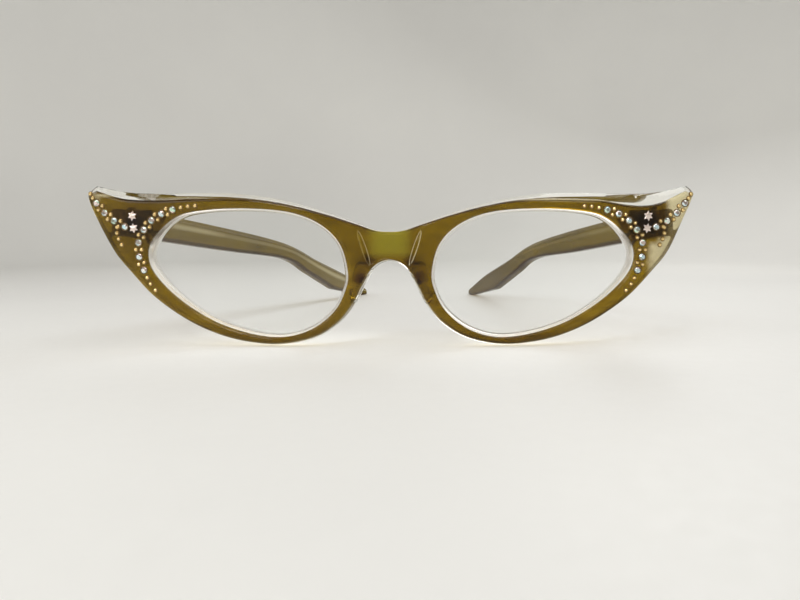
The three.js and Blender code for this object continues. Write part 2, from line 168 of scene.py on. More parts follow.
# %% [markdown]
# Every finish is built from nodes. Effects that several finishes share, such as the slow drift of
# colour in acetate or the fine rubbing that dulls a polish, are node groups made once and given
# different values in each material. The shader itself always stays in its own material.


# %% Node helpers
def new_material(name):
    """A material with an empty node tree, its output and one Principled shader."""
    material = bpy.data.materials.new(name)
    material.use_nodes = True
    tree = material.node_tree
    tree.nodes.clear()
    output = tree.nodes.new("ShaderNodeOutputMaterial")
    shader = tree.nodes.new("ShaderNodeBsdfPrincipled")
    tree.links.new(shader.outputs[0], output.inputs["Surface"])
    return material, tree, shader, output


def new_group(name, inputs, outputs):
    """A shader node group with named sockets: inputs map a name to (kind, default)."""
    group = bpy.data.node_groups.new(name, "ShaderNodeTree")
    for socket, (kind, default) in inputs.items():
        made = group.interface.new_socket(socket, in_out="INPUT", socket_type=kind)
        if default is not None:
            made.default_value = default
    for socket, kind in outputs.items():
        group.interface.new_socket(socket, in_out="OUTPUT", socket_type=kind)
    return group, group.nodes.new("NodeGroupInput"), group.nodes.new("NodeGroupOutput")


def add_noise(tree, vector, scale, detail=3.0, rough=0.55, distortion=0.0):
    noise = tree.nodes.new("ShaderNodeTexNoise")
    noise.inputs["Detail"].default_value = detail
    noise.inputs["Roughness"].default_value = rough
    noise.inputs["Distortion"].default_value = distortion
    tree.links.new(vector, noise.inputs["Vector"])
    if isinstance(scale, (int, float)):
        noise.inputs["Scale"].default_value = scale
    else:
        tree.links.new(scale, noise.inputs["Scale"])
    return noise.outputs["Fac"]


def add_math(tree, operation, a, b=None, clamp=False):
    node = tree.nodes.new("ShaderNodeMath")
    node.operation = operation
    node.use_clamp = clamp
    for value, socket in ((a, node.inputs[0]), (b, node.inputs[1])):
        if value is None:
            continue
        if isinstance(value, (int, float)):
            socket.default_value = value
        else:
            tree.links.new(value, socket)
    return node.outputs[0]


def add_range(tree, value, low, high, to_low, to_high):
    node = tree.nodes.new("ShaderNodeMapRange")
    tree.links.new(value, node.inputs["Value"])
    limits = ("From Min", low), ("From Max", high), ("To Min", to_low), ("To Max", to_high)
    for name, limit in limits:
        if isinstance(limit, (int, float)):
            node.inputs[name].default_value = limit
        else:
            tree.links.new(limit, node.inputs[name])
    return node.outputs[0]


def add_mix(tree, factor, a, b, blend="MIX"):
    node = tree.nodes.new("ShaderNodeMix")
    node.data_type = "RGBA"
    node.blend_type = blend
    for value, socket in ((factor, node.inputs[0]), (a, node.inputs[6]), (b, node.inputs[7])):
        if isinstance(value, (int, float)):
            socket.default_value = value
        elif isinstance(value, tuple):
            socket.default_value = value
        else:
            tree.links.new(value, socket)
    return node.outputs[2]


def add_mapping(tree, vector, scale):
    node = tree.nodes.new("ShaderNodeMapping")
    node.inputs["Scale"].default_value = scale
    tree.links.new(vector, node.inputs["Vector"])
    return node.outputs[0]


def place_group(tree, group, **values):
    """A group's node in a material, with its inputs set or linked by name."""
    node = tree.nodes.new("ShaderNodeGroup")
    node.node_tree = group
    for name, value in values.items():
        socket = node.inputs[name.replace("_", " ")]
        if hasattr(value, "links"):
            tree.links.new(value, socket)
        else:
            socket.default_value = value
    return node


def add_bump(tree, height, strength, distance, normal=None):
    node = tree.nodes.new("ShaderNodeBump")
    node.inputs["Strength"].default_value = strength
    node.inputs["Distance"].default_value = distance
    tree.links.new(height, node.inputs["Height"])
    if normal is not None:
        tree.links.new(normal, node.inputs["Normal"])
    return node.outputs[0]


def object_place(tree):
    return tree.nodes.new("ShaderNodeTexCoord").outputs["Object"]


def let_lamps_through(tree, shader, output, colour):
    """Rays from lamps pass the piece tinted, so that what lies behind glass is still lit."""
    path = tree.nodes.new("ShaderNodeLightPath")
    clear = tree.nodes.new("ShaderNodeBsdfTransparent")
    clear.inputs["Color"].default_value = colour
    mix = tree.nodes.new("ShaderNodeMixShader")
    tree.links.new(path.outputs["Is Shadow Ray"], mix.inputs[0])
    tree.links.new(shader.outputs[0], mix.inputs[1])
    tree.links.new(clear.outputs[0], mix.inputs[2])
    tree.links.new(mix.outputs[0], output.inputs["Surface"])


# %% [markdown]
# Three shared effects. *Polish wear* is the haze and hairlines that handling leaves on a buffed
# surface. *Acetate drift* is the slow streaky change of depth in cast cellulose sheet. *Metal
# wear* speckles a plated surface with duller, darker patches.


# %% Shared effects
def make_polish_wear():
    group, source, sink = new_group(
        "polish wear",
        {
            "Vector": ("NodeSocketVector", None),
            "Base": ("NodeSocketFloat", 0.06),
            "Haze": ("NodeSocketFloat", 0.08),
            "Hairline": ("NodeSocketFloat", 0.10),
        },
        {"Roughness": "NodeSocketFloat", "Height": "NodeSocketFloat"},
    )
    vector = source.outputs["Vector"]
    cloud = add_noise(group, vector, 90.0, detail=4.0)
    haze = add_range(group, cloud, 0.45, 0.8, 0.0, source.outputs["Haze"])
    fine = add_noise(group, add_mapping(group, vector, (900, 700, 5200)), 1.0, detail=2.0)
    lines = add_range(group, fine, 0.62, 0.72, 0.0, source.outputs["Hairline"])
    total = add_math(group, "ADD", add_math(group, "ADD", source.outputs["Base"], haze), lines)
    group.links.new(total, sink.inputs["Roughness"])
    swell = add_noise(group, vector, 260.0, detail=2.0)
    group.links.new(add_math(group, "ADD", swell, lines), sink.inputs["Height"])
    return group


def make_acetate_drift():
    group, source, sink = new_group(
        "acetate drift",
        {
            "Vector": ("NodeSocketVector", None),
            "Light": ("NodeSocketColor", (0.5, 0.4, 0.15, 1)),
            "Deep": ("NodeSocketColor", (0.2, 0.13, 0.03, 1)),
            "Streak": ("NodeSocketFloat", 0.5),
        },
        {"Color": "NodeSocketColor"},
    )
    vector = source.outputs["Vector"]
    slow = add_noise(group, add_mapping(group, vector, (22, 60, 60)), 1.0, detail=2.0,
                     distortion=0.6)
    streaks = add_noise(group, add_mapping(group, vector, (70, 260, 520)), 1.0, detail=3.0)
    drift = add_range(group, slow, 0.32, 0.70, 0.0, 1.0)
    grain = add_range(group, streaks, 0.35, 0.75, 0.0, source.outputs["Streak"])
    depth = add_math(group, "ADD", add_math(group, "MULTIPLY", drift, 0.6), grain, clamp=True)
    colour = add_mix(group, depth, source.outputs["Light"], source.outputs["Deep"])
    group.links.new(colour, sink.inputs["Color"])
    return group


def make_metal_wear():
    group, source, sink = new_group(
        "metal wear",
        {
            "Vector": ("NodeSocketVector", None),
            "Bright": ("NodeSocketColor", (0.9, 0.8, 0.6, 1)),
            "Dull": ("NodeSocketColor", (0.3, 0.25, 0.15, 1)),
            "Amount": ("NodeSocketFloat", 0.4),
            "Smoothness": ("NodeSocketFloat", 0.15),
        },
        {"Color": "NodeSocketColor", "Roughness": "NodeSocketFloat", "Height": "NodeSocketFloat"},
    )
    vector = source.outputs["Vector"]
    patches = add_noise(group, vector, 700.0, detail=4.0, rough=0.65)
    worn = add_range(group, patches, 0.45, 0.75, 0.0, source.outputs["Amount"])
    group.links.new(
        add_mix(group, worn, source.outputs["Bright"], source.outputs["Dull"]), sink.inputs["Color"]
    )
    rough = add_math(group, "ADD", source.outputs["Smoothness"],
                     add_math(group, "MULTIPLY", worn, 0.4))
    group.links.new(rough, sink.inputs["Roughness"])
    group.links.new(add_noise(group, vector, 2400.0, detail=2.0), sink.inputs["Height"])
    return group


polish_wear = make_polish_wear()
acetate_drift = make_acetate_drift()
metal_wear = make_metal_wear()
print("shared effects:", polish_wear.name, acetate_drift.name, metal_wear.name)

# %% [markdown]
# Olive acetate is a dense amber-green gel: light passes, but only a little, and most of what comes
# back is scattered inside. A Principled shader that is part transmissive and part body colour
# behaves the same way. Crystal acetate and the lenses transmit almost everything, so they take
# full transmission and differ in tint, index and wear.


# %% Acetate, lens and glass finishes
# Colours mixed in by each point's numbers: amber for painted shade, a lighter green, and cream for
# painted highlights.
PAINTED_SHADE_AMBER = (0.27, 0.17, 0.09, 1)
GREEN_LIGHT = (0.47, 0.41, 0.035, 1)
PAINTED_HIGHLIGHT_CREAM = (0.88, 0.79, 0.52, 1)
WALL_CREAM = (1.0, 0.95, 0.88, 1)


def add_named_value(tree, name):
    node = tree.nodes.new("ShaderNodeAttribute")
    node.attribute_name = name
    return node.outputs["Fac"]


def finish_acetate(name, light, deep, transmission, streak, shadow, index, gloss, grain, wear):
    material, tree, shader, output = new_material(name)
    lay = tree.nodes.new("ShaderNodeMapping")
    lay.inputs["Rotation"].default_value = (0, 0, grain)
    tree.links.new(object_place(tree), lay.inputs["Vector"])
    place = lay.outputs[0]
    drift = place_group(tree, acetate_drift, Vector=place, Light=light, Deep=deep, Streak=streak)
    rub = place_group(tree, polish_wear, Vector=place, Base=wear[0], Haze=wear[1], Hairline=wear[2])
    amber = add_named_value(tree, "amber")
    green = add_named_value(tree, "green")
    pale = add_named_value(tree, "pale")
    # Painted shade darkens towards amber, green lightens the bridge, painted highlights pale
    # towards cream.
    colour = add_mix(tree, amber, drift.outputs["Color"], PAINTED_SHADE_AMBER, "MULTIPLY")
    colour = add_mix(tree, green, colour, GREEN_LIGHT)
    colour = add_mix(tree, pale, colour, PAINTED_HIGHLIGHT_CREAM)
    tree.links.new(colour, shader.inputs["Base Color"])
    tree.links.new(rub.outputs["Roughness"], shader.inputs["Roughness"])
    tree.links.new(add_bump(tree, rub.outputs["Height"], 0.10, 0.00003), shader.inputs["Normal"])
    shader.inputs["Transmission Weight"].default_value = transmission
    shader.inputs["IOR"].default_value = index
    shader.inputs["Specular IOR Level"].default_value = gloss
    let_lamps_through(tree, shader, output, shadow)
    return material


def finish_clear(name, tint, index, wear, bump, gloss):
    material, tree, shader, output = new_material(name)
    place = object_place(tree)
    rub = place_group(tree, polish_wear, Vector=place, Base=wear[0], Haze=wear[1], Hairline=wear[2])
    smear = add_noise(tree, place, 38.0, detail=3.0, distortion=1.2)
    colour = add_mix(tree, add_range(tree, smear, 0.4, 0.8, 0.0, 1.0), tint[0], tint[1])
    frost = add_named_value(tree, "frost")
    tree.links.new(add_mix(tree, frost, colour, WALL_CREAM), shader.inputs["Base Color"])
    rough = add_math(tree, "ADD", rub.outputs["Roughness"], add_math(tree, "MULTIPLY", frost, 0.55))
    tree.links.new(rough, shader.inputs["Roughness"])
    tree.links.new(add_bump(tree, rub.outputs["Height"], bump, 0.00002), shader.inputs["Normal"])
    shader.inputs["Transmission Weight"].default_value = 1.0
    shader.inputs["IOR"].default_value = index
    shader.inputs["Specular IOR Level"].default_value = gloss
    let_lamps_through(tree, shader, output, tint[0])
    return material


POLISH = (0.05, 0.10, 0.12)
olive_acetate = finish_acetate(
    "olive acetate", light=(0.355, 0.226, 0.007, 1), deep=(0.16, 0.086, 0.001, 1),
    transmission=0.94,
    streak=0.50, shadow=(0.55, 0.45, 0.22, 1), index=1.33, gloss=0.20, grain=0.0, wear=POLISH,
)
temple_acetate = finish_acetate(
    "temple acetate", light=(0.275, 0.188, 0.005, 1), deep=(0.145, 0.094, 0.001, 1),
    transmission=0.50,
    streak=0.45, shadow=(0.5, 0.4, 0.2, 1), index=1.20, gloss=0.06, grain=math.pi / 2, wear=POLISH,
)
crystal_acetate = finish_clear(
    "crystal acetate", ((0.97, 0.965, 0.93, 1), (0.94, 0.93, 0.87, 1)), 1.49, (0.02, 0.04, 0.06),
    0.05, 0.5
)
lens_glass = finish_clear(
    "lens", ((0.985, 0.992, 0.988, 1), (0.97, 0.982, 0.976, 1)), 1.50, (0.0, 0.015, 0.02), 0.01,
    0.10
)
print("acetate and glass finishes ready")

# %% [markdown]
# The metals: nickel silver hinges that have gone a little brown, bright gold studs, and star heads
# in a pale pinkish plate. The hinge faces against the acetate carry painted shade with some cement,
# and the dark cups and seats round stones and studs paint the shadow of their pockets. The stones
# are foil-backed glass with an iridescent coat, so their colour turns from green to blue to rose
# with the facet, and some facets get painted white glints or near-black shade. Each stone carries
# its own tint number, and the facet's direction is added to it before it picks a colour.


# %% Metals and stones
def finish_metal(name, bright, dull, amount, smoothness, bump=0.15):
    material, tree, shader, _ = new_material(name)
    place = object_place(tree)
    wear = place_group(
        tree, metal_wear, Vector=place, Bright=bright, Dull=dull, Amount=amount,
        Smoothness=smoothness
    )
    tree.links.new(wear.outputs["Color"], shader.inputs["Base Color"])
    tree.links.new(wear.outputs["Roughness"], shader.inputs["Roughness"])
    tree.links.new(add_bump(tree, wear.outputs["Height"], bump, 0.00002), shader.inputs["Normal"])
    shader.inputs["Metallic"].default_value = 1.0
    return material


def shade_and_stain_seat(material):
    """Blackens faces against the acetate: painted shade there, with some cement and verdigris."""
    tree = material.node_tree
    shader = next(node for node in tree.nodes if node.type == "BSDF_PRINCIPLED")
    split = tree.nodes.new("ShaderNodeSeparateXYZ")
    tree.links.new(tree.nodes.new("ShaderNodeNewGeometry").outputs["Normal"], split.inputs[0])
    front = add_range(tree, split.outputs[1], -0.92, -0.7, 1.0, 0.0)
    cloud = add_noise(tree, object_place(tree), 420.0, detail=3.0)
    shade_and_stain = add_math(tree, "MULTIPLY", front, add_range(tree, cloud, 0.36, 0.56, 0.25, 1.0),
                     clamp=True)
    base = shader.inputs["Base Color"].links[0].from_socket
    tree.links.new(add_mix(tree, shade_and_stain, base, (0.018, 0.013, 0.008, 1)),
                   shader.inputs["Base Color"])
    rough = shader.inputs["Roughness"].links[0].from_socket
    dull = add_math(tree, "ADD", rough, add_math(tree, "MULTIPLY", shade_and_stain, 0.4))
    tree.links.new(dull, shader.inputs["Roughness"])
    metal = add_range(tree, shade_and_stain, 0.0, 1.0, 1.0, 0.2)
    tree.links.new(metal, shader.inputs["Metallic"])


def finish_stone():
    material, tree, shader, _ = new_material("rhinestone")
    tint = tree.nodes.new("ShaderNodeAttribute")
    tint.attribute_name = "tint"
    facing = tree.nodes.new("ShaderNodeNewGeometry").outputs["Normal"]
    split = tree.nodes.new("ShaderNodeSeparateXYZ")
    tree.links.new(facing, split.inputs[0])
    lean = add_math(tree, "ADD", add_math(tree, "MULTIPLY", split.outputs[0], 0.55),
                    split.outputs[2])
    turn = add_math(tree, "ADD", add_math(tree, "MULTIPLY", lean, 0.35), tint.outputs["Fac"])
    ramp = tree.nodes.new("ShaderNodeValToRGB")
    tree.links.new(add_math(tree, "FRACT", turn), ramp.inputs[0])
    # White and near-black stops paint glints and shade on facets by their facing; the green, blue
    # and rose ones are the coat.
    coat_tints_and_painted_glints = (
        (0.00, (0.96, 0.98, 0.95, 1)), (0.14, (0.55, 0.88, 0.62, 1)), (0.24, (0.96, 0.97, 0.92, 1)),
        (0.34, (0.16, 0.20, 0.15, 1)), (0.44, (0.90, 0.95, 0.92, 1)), (0.58, (0.52, 0.80, 0.90, 1)),
        (0.68, (0.98, 0.95, 0.90, 1)), (0.78, (0.22, 0.19, 0.16, 1)), (0.94, (0.98, 0.80, 0.74, 1)),
    )
    elements = ramp.color_ramp.elements
    elements[0].position, elements[0].color = coat_tints_and_painted_glints[0]
    elements[1].position, elements[1].color = coat_tints_and_painted_glints[-1]
    for position, colour in coat_tints_and_painted_glints[1:-1]:
        elements.new(position).color = colour
    place = object_place(tree)
    rub = place_group(tree, polish_wear, Vector=place, Base=0.04, Haze=0.05, Hairline=0.03)
    tree.links.new(ramp.outputs[0], shader.inputs["Base Color"])
    tree.links.new(rub.outputs["Roughness"], shader.inputs["Roughness"])
    shader.inputs["Metallic"].default_value = 0.72
    shader.inputs["Coat Weight"].default_value = 1.0
    shader.inputs["Coat Roughness"].default_value = 0.02
    shader.inputs["IOR"].default_value = 1.56
    return material


gold = finish_metal("gold studs", (0.96, 0.73, 0.34, 1), (0.42, 0.26, 0.09, 1), 0.35, 0.10)
star_plate = finish_metal("star plate", (0.90, 0.77, 0.70, 1), (0.46, 0.34, 0.27, 1), 0.45, 0.18)
nickel = finish_metal("hinge nickel", (0.56, 0.52, 0.45, 1), (0.20, 0.15, 0.10, 1), 0.55, 0.26)
# The hinge faces against the acetate get painted shade, partly cement.
shade_and_stain_seat(nickel)
# Dark metal for the stone cups and stud seats: painted shadow of their pockets.
painted_shadow_metal = finish_metal("painted shadow cups", (0.24, 0.16, 0.07, 1), (0.06, 0.04, 0.02, 1), 0.7, 0.36)
rhinestone_glass = finish_stone()


def finish_floor():
    material, tree, shader, _ = new_material("pale floor")
    place = object_place(tree)
    cloud = add_noise(tree, place, 5.0, detail=5.0)
    grain = add_noise(tree, place, 320.0, detail=2.0)
    shade = add_range(tree, cloud, 0.3, 0.7, 0.0, 1.0)
    colour = add_mix(tree, shade, (0.81, 0.80, 0.765, 1), (0.765, 0.755, 0.725, 1))
    tree.links.new(colour, shader.inputs["Base Color"])
    tree.links.new(add_range(tree, grain, 0.3, 0.7, 0.50, 0.62), shader.inputs["Roughness"])
    tree.links.new(add_bump(tree, grain, 0.05, 0.0002), shader.inputs["Normal"])
    return material


cove.data.materials.append(finish_floor())
print("metal and stone finishes ready")

# %% [markdown]
# The front is cut from flat sheet and then bent round an upright cylinder, so its outline is drawn
# flat, as distance along the curve and height. A smooth curve through a few listed points gives
# each edge. Both halves mirror each other across the bridge.

# %% Outlines of the front
FRONT_RADIUS = 420.0
OLIVE_THICKNESS = 1.2
FRONT_THICKNESS = 4.28

BROW = [
    (0, 27.3), (3.4, 27.7), (7.8, 29.3), (14.4, 31.6), (22, 33.8), (29.6, 35.4),
    (37.6, 36.3), (46.7, 36.5), (56.1, 36.4), (65.1, 36.8), (73.9, 38.5),
]
OLIVE_BROW = [
    (0, 27.2), (3.4, 27.5), (7.8, 29.0), (14.4, 31.1), (22, 33.1), (29.6, 34.5),
    (37.6, 35.1), (46.7, 35.0), (56.1, 34.7), (65.1, 35.2), (72.9, 37.4),
]
LOWER_EDGE = [
    (74.6, 37.0), (73.0, 32.0), (68, 22.6), (63.7, 17.4), (57.6, 11.2), (49.4, 5.7),
    (41.3, 2.2), (33.6, 0.5), (25.9, 0.2), (18.1, 1.9), (12.3, 5.5), (8.4, 10.2),
    (6.6, 13.6), (4.7, 17.3), (2.8, 19.4), (0, 20.3),
]
APERTURE = [
    (10.0, 17.9), (11.8, 24.3), (16.4, 28.9), (23.6, 31.7), (33.6, 32.6), (43.7, 32.3),
    (50.9, 30.9), (55.9, 27.0), (58.5, 22.3), (57.1, 17.3), (51.1, 11.1), (42.7, 5.9),
    (33.6, 3.0), (25.6, 2.3), (18.7, 4.3), (13.3, 8.5), (10.6, 13.5),
]

face_origin = np.array([0.0, front_low.y / MM, front_low.z / MM])


def smooth_curve(points, closed=False, spacing=0.6):
    """Points at an even spacing along a Catmull-Rom curve through the given ones."""
    knots = np.array(points, float)
    if closed:
        knots = np.vstack([knots[-1:], knots, knots[:2]])
    else:
        first = 2 * knots[:1] - knots[1:2]
        last = 2 * knots[-1:] - knots[-2:-1]
        knots = np.vstack([first, knots, last])
    dense = []
    for a, b, c, d in zip(knots, knots[1:], knots[2:], knots[3:]):
        for t in np.linspace(0, 1, 40, endpoint=False):
            dense.append(0.5 * (2 * b + (c - a) * t + (2 * a - 5 * b + 4 * c - d) * t**2
                                + (3 * b - a - 3 * c + d) * t**3))
    dense.append(knots[-2])
    dense = np.array(dense)
    run = np.concatenate([[0], np.cumsum(np.linalg.norm(np.diff(dense, axis=0), axis=1))])
    count = max(8, int(round(run[-1] / spacing)))
    marks = np.linspace(0, run[-1], count + 1)
    even = np.column_stack([np.interp(marks, run, dense[:, axis])
                            for axis in range(dense.shape[1])])
    return even[:-1] if closed else even


def across_bridge(half):
    """Both halves of an edge that crosses the bridge, from left to right."""
    return [(-x, z) for x, z in reversed(half)] + list(half[1:])


def front_outline(brow, spacing=0.6):
    """The closed outline, anticlockwise: along the lower edge, then back along the brow."""
    top = smooth_curve(across_bridge(brow), spacing=spacing)[::-1]
    bottom = smooth_curve(across_bridge(LOWER_EDGE[::-1]), spacing=spacing)
    return np.vstack([bottom, top])


def mirror(loop):
    """The same closed loop on the other side of the bridge, still anticlockwise."""
    return (loop * [-1, 1])[::-1]


def anticlockwise(loop):
    x, z = loop[:, 0], loop[:, 1]
    area = np.sum(x * np.roll(z, -1) - np.roll(x, -1) * z)
    return loop if area > 0 else loop[::-1]


def loop_normals(loop):
    """Unit vectors pointing out of an anticlockwise loop."""
    along = np.roll(loop, -1, axis=0) - np.roll(loop, 1, axis=0)
    along /= np.linalg.norm(along, axis=1)[:, None]
    return np.column_stack([along[:, 1], -along[:, 0]])


def offset_loop(loop, distance):
    """The loop moved outwards by one distance, or by a distance for each point."""
    return loop + loop_normals(loop) * np.reshape(distance, (-1, 1))


def bend_front(points):
    """Sheet points (along, depth, height) in mm, wrapped round the front's cylinder, in metres."""
    points = np.asarray(points, float)
    angle = points[:, 0] / FRONT_RADIUS
    radius = FRONT_RADIUS - points[:, 1]
    bent = np.column_stack(
        [radius * np.sin(angle), FRONT_RADIUS - radius * np.cos(angle), points[:, 2]]
    )
    return (bent + face_origin) * MM


aperture = anticlockwise(smooth_curve(APERTURE, closed=True))
crystal_outline = front_outline(BROW)
print("outline points:", len(crystal_outline), "aperture points:", len(aperture))

# %% [markdown]
# A sheet with rounded, polished edges is easiest as a pair of skins over one flat net. The net is
# triangulated with extra rows of points close to every edge, and each point then sinks by an
# amount that depends on its distance from the edge. One rule for the front skin and one for the
# back give the rounding, the chamfers and the flats, with no seams anywhere.


# %% Sheets with shaped edges
POINTS_AT_A_TIME = 2000  # keeps the table of distances small


def edge_distance(points, loops):
    """For each point, its distance from the nearest of the closed loops."""
    best = np.full(len(points), np.inf)
    for loop in loops:
        run = np.roll(loop, -1, axis=0) - loop
        length = np.sum(run**2, axis=1)
        for first in range(0, len(points), POINTS_AT_A_TIME):
            chunk = points[first:first + POINTS_AT_A_TIME]
            gap = chunk[:, None, :] - loop[None]
            share = np.clip(np.sum(gap * run[None], axis=2) / length, 0, 1)
            away = np.linalg.norm(gap - share[..., None] * run[None], axis=2).min(axis=1)
            part = slice(first, first + POINTS_AT_A_TIME)
            best[part] = np.minimum(best[part], away)
    return best


def line_distance(points, line):
    """For each point, its distance from the nearest of an open line's points."""
    near = np.empty(len(points))
    for first in range(0, len(points), POINTS_AT_A_TIME):
        part = slice(first, first + POINTS_AT_A_TIME)
        near[part] = np.linalg.norm(points[part, None] - line[None], axis=2).min(axis=1)
    return near


def inside(points, loop):
    """True for each point within the closed loop, by counting crossings."""
    x, z = points[:, 0], points[:, 1]
    within = np.zeros(len(points), bool)
    for (x0, z0), (x1, z1) in zip(loop, np.roll(loop, -1, axis=0)):
        crosses = (z0 > z) != (z1 > z)
        with np.errstate(divide="ignore", invalid="ignore"):
            at = (x1 - x0) * (z - z0) / (z1 - z0) + x0
        within ^= crosses & (x < at)
    return within


def flat_net(outline, holes, rows, grid, extra=()):
    """Triangles over a flat region: rows are distances from each edge that get extra points."""
    loops = [outline, *holes]
    free = [offset_loop(outline, -row) for row in rows]
    free += [offset_loop(hole, row) for hole in holes for row in rows]
    low, high = outline.min(axis=0), outline.max(axis=0)
    xs, zs = np.meshgrid(np.arange(low[0], high[0], grid), np.arange(low[1], high[1], grid))
    cells = np.column_stack([xs.ravel(), zs.ravel()])
    cells[:, 0] += (np.round(cells[:, 1] / grid) % 2) * grid / 2
    wanted = [(points, row * 0.9) for points, row in zip(free, list(rows) * len(loops))]
    wanted += [(points, 0.3) for points in extra]
    clear = np.ones(len(cells), bool)
    for points in extra:
        clear &= np.linalg.norm(cells[:, None] - points[None], axis=2).min(axis=1) > 0.45
    wanted.append((cells[clear], rows[-1] + grid * 0.5))
    kept = []
    for points, least in wanted:
        region = inside(points, outline)
        for hole in holes:
            region &= ~inside(points, hole)
        points = points[region]
        kept.append(points[edge_distance(points, loops) >= least])
    borders, edges = [], []
    for loop in loops:
        first = sum(len(border) for border in borders)
        borders.append(loop)
        edges += [(first + i, first + (i + 1) % len(loop)) for i in range(len(loop))]
    points = np.vstack(borders + kept)
    verts, _, faces, *_ = delaunay_2d_cdt([Vector(p) for p in points], edges, [], 0, 1e-5)
    verts = np.array([tuple(vert) for vert in verts])
    faces = np.array([face for face in faces if len(face) == 3])
    middles = verts[faces].mean(axis=1)
    keep = inside(middles, outline)
    for hole in holes:
        keep &= ~inside(middles, hole)
    return verts, faces[keep], edge_distance(verts, loops)


def sheet_solid(name, net, front_depth, back_depth):
    """A closed piece from a flat net, with a depth for each point of its front and back skins."""
    verts, faces, _ = net
    front = np.column_stack([verts[:, 0], front_depth, verts[:, 1]])
    back = np.column_stack([verts[:, 0], back_depth, verts[:, 1]])
    count = len(verts)
    points = bend_front(np.vstack([front, back]))
    mesh = bmesh.new()
    made = [mesh.verts.new(point) for point in points]
    for a, b, c in faces:
        mesh.faces.new((made[a], made[b], made[c]))
        mesh.faces.new((made[count + c], made[count + b], made[count + a]))
    ends = {}
    for a, b, c in faces:
        for pair in ((a, b), (b, c), (c, a)):
            ends[pair] = True
    for a, b in ends:
        if (b, a) not in ends:
            mesh.faces.new((made[b], made[a], made[count + a], made[count + b]))
    loose = [vert for vert in mesh.verts if not vert.link_faces]
    bmesh.ops.delete(mesh, geom=loose, context="VERTS")
    bmesh.ops.recalc_face_normals(mesh, faces=mesh.faces)
    return to_object(name, mesh)


def to_object(name, mesh, smooth=True):
    data = bpy.data.meshes.new(name)
    mesh.to_mesh(data)
    mesh.free()
    if smooth:
        data.shade_smooth()
    made = bpy.data.objects.new(name, data)
    bpy.context.scene.collection.objects.link(made)
    return made


def rounded(distance, reach, drop):
    """How far a skin sinks at a distance from its edge, as a quarter ellipse."""
    share = np.clip(1 - distance / reach, 0, 1)
    return drop * (1 - np.sqrt(1 - share**2))


def finish_piece(piece, material, body, slot, *nodes):
    """The last step: its finish, the body it rides on, what it stands for (not used); hides the
    parts.
    """
    if material is not None:
        piece.data.materials.clear()
        piece.data.materials.append(material)
    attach(piece, body)
    if nodes:
        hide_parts(*nodes)
    print(piece.name, "faces:", len(piece.data.polygons))


# %% [markdown]
# The clear sheet shows wherever the olive one is cut back: as a pale line round every edge, a
# broad chamfer along the brow, a band inside each rim towards the temple, and the sloped flanks
# beside the nose. So the olive sheet gets its own outline, drawn in by a varying amount, and the
# clear sheet slopes away from that line to its own edge.

# %% The two sheets of the front
EDGE_REVEAL = 0.32
NOSE_REVEAL = 0.40
TIP_REVEAL = 0.85
BROW_FILED = 1.3
RIM_REVEAL = 0.04
RIM_REVEAL_TEMPLE = 0.52
CHAMFER_DEPTH = 1.5
CREST_MIDDLE = 6.1
CREST_LEAN = 0.33
CREST_WIDTH = 1.05
CREST_LOW = 19.4
CREST_HIGH = 27.4
CREST_DEPTH = 0.42
EDGE_ROWS = (0.10, 0.25, 0.45, 0.70, 1.0)


def bump_at(value, middle, width):
    """1 at the middle of a range, falling smoothly to 0 a width away."""
    return np.clip(1 - ((value - middle) / width) ** 2, 0, 1) ** 2


def olive_outline():
    """The olive sheet's outline: its own brow, and the lower edge drawn in."""
    loop = front_outline(OLIVE_BROW)
    x, z = np.abs(loop[:, 0]), loop[:, 1]
    count = len(smooth_curve(across_bridge(LOWER_EDGE[::-1]), spacing=0.6))
    lower = np.arange(len(loop)) < count
    nose = bump_at(z, 14.5, 8.5) * (x < 14)
    tip = bump_at(z, 31.0, 9.0) * (loop[:, 0] > 60)
    reveal = EDGE_REVEAL + (NOSE_REVEAL - EDGE_REVEAL) * nose + (TIP_REVEAL - EDGE_REVEAL) * tip
    filed = BROW_FILED * bump_at(loop[:, 0], 61.0, 12.0)
    return offset_loop(loop, -np.where(lower, reveal, filed))


def olive_aperture():
    """The opening in the olive sheet, wider than the clear one, most of all at the temple side."""
    x, z = aperture[:, 0], aperture[:, 1]
    temple = np.clip((x - 44) / 14, 0, 1) ** 1.5 * np.clip((31 - z) / 6, 0.1, 1)
    low = np.clip((12 - z) / 10, 0, 1)
    nose = np.clip((15 - x) / 5, 0, 1)
    wider = RIM_REVEAL + (RIM_REVEAL_TEMPLE - RIM_REVEAL) * temple + 0.10 * low * (1 - nose)
    return offset_loop(aperture, wider)


def crest_shape(z):
    """Middle and half width of the filed sliver beside the bridge, at a height."""
    share = np.clip((z - CREST_LOW) / (CREST_HIGH - CREST_LOW), 0, 1)
    middle = CREST_MIDDLE + (z - 23.5) * CREST_LEAN
    return middle, CREST_WIDTH / 2 * np.sqrt(np.maximum(0, 1 - (2 * share - 1) ** 2))


def crest_lines():
    """Both edges of the sliver, on both sides of the bridge."""
    lines = []
    zs = np.linspace(CREST_LOW, CREST_HIGH, 40)
    middle, half = crest_shape(zs)
    for sign in (-1, 1):
        for edge in (-1, 1):
            lines.append(np.column_stack([sign * (middle + edge * half), zs]))
    return lines


def make_olive_face():
    outline, hole = olive_outline(), olive_aperture()
    beside = [line + [shift, 0] for line in crest_lines() for shift in (-0.15, 0.15)]
    net = flat_net(outline, [hole, mirror(hole)], EDGE_ROWS, 1.3, crest_lines() + beside)
    away = net[2]
    x, z = np.abs(net[0][:, 0]), net[0][:, 1]
    middle, half = crest_shape(z)
    across = (middle + half - x) / np.maximum(2 * half, 0.2)
    hollow = CREST_DEPTH * np.clip(across, 0, 1) * np.clip((z - 18) / 2, 0, 1)
    front = np.maximum(rounded(away, 0.8, 0.75), hollow * np.clip(away / 0.6, 0, 1))
    back = np.full(len(away), OLIVE_THICKNESS)
    return sheet_solid("olive_face", net, front, back)


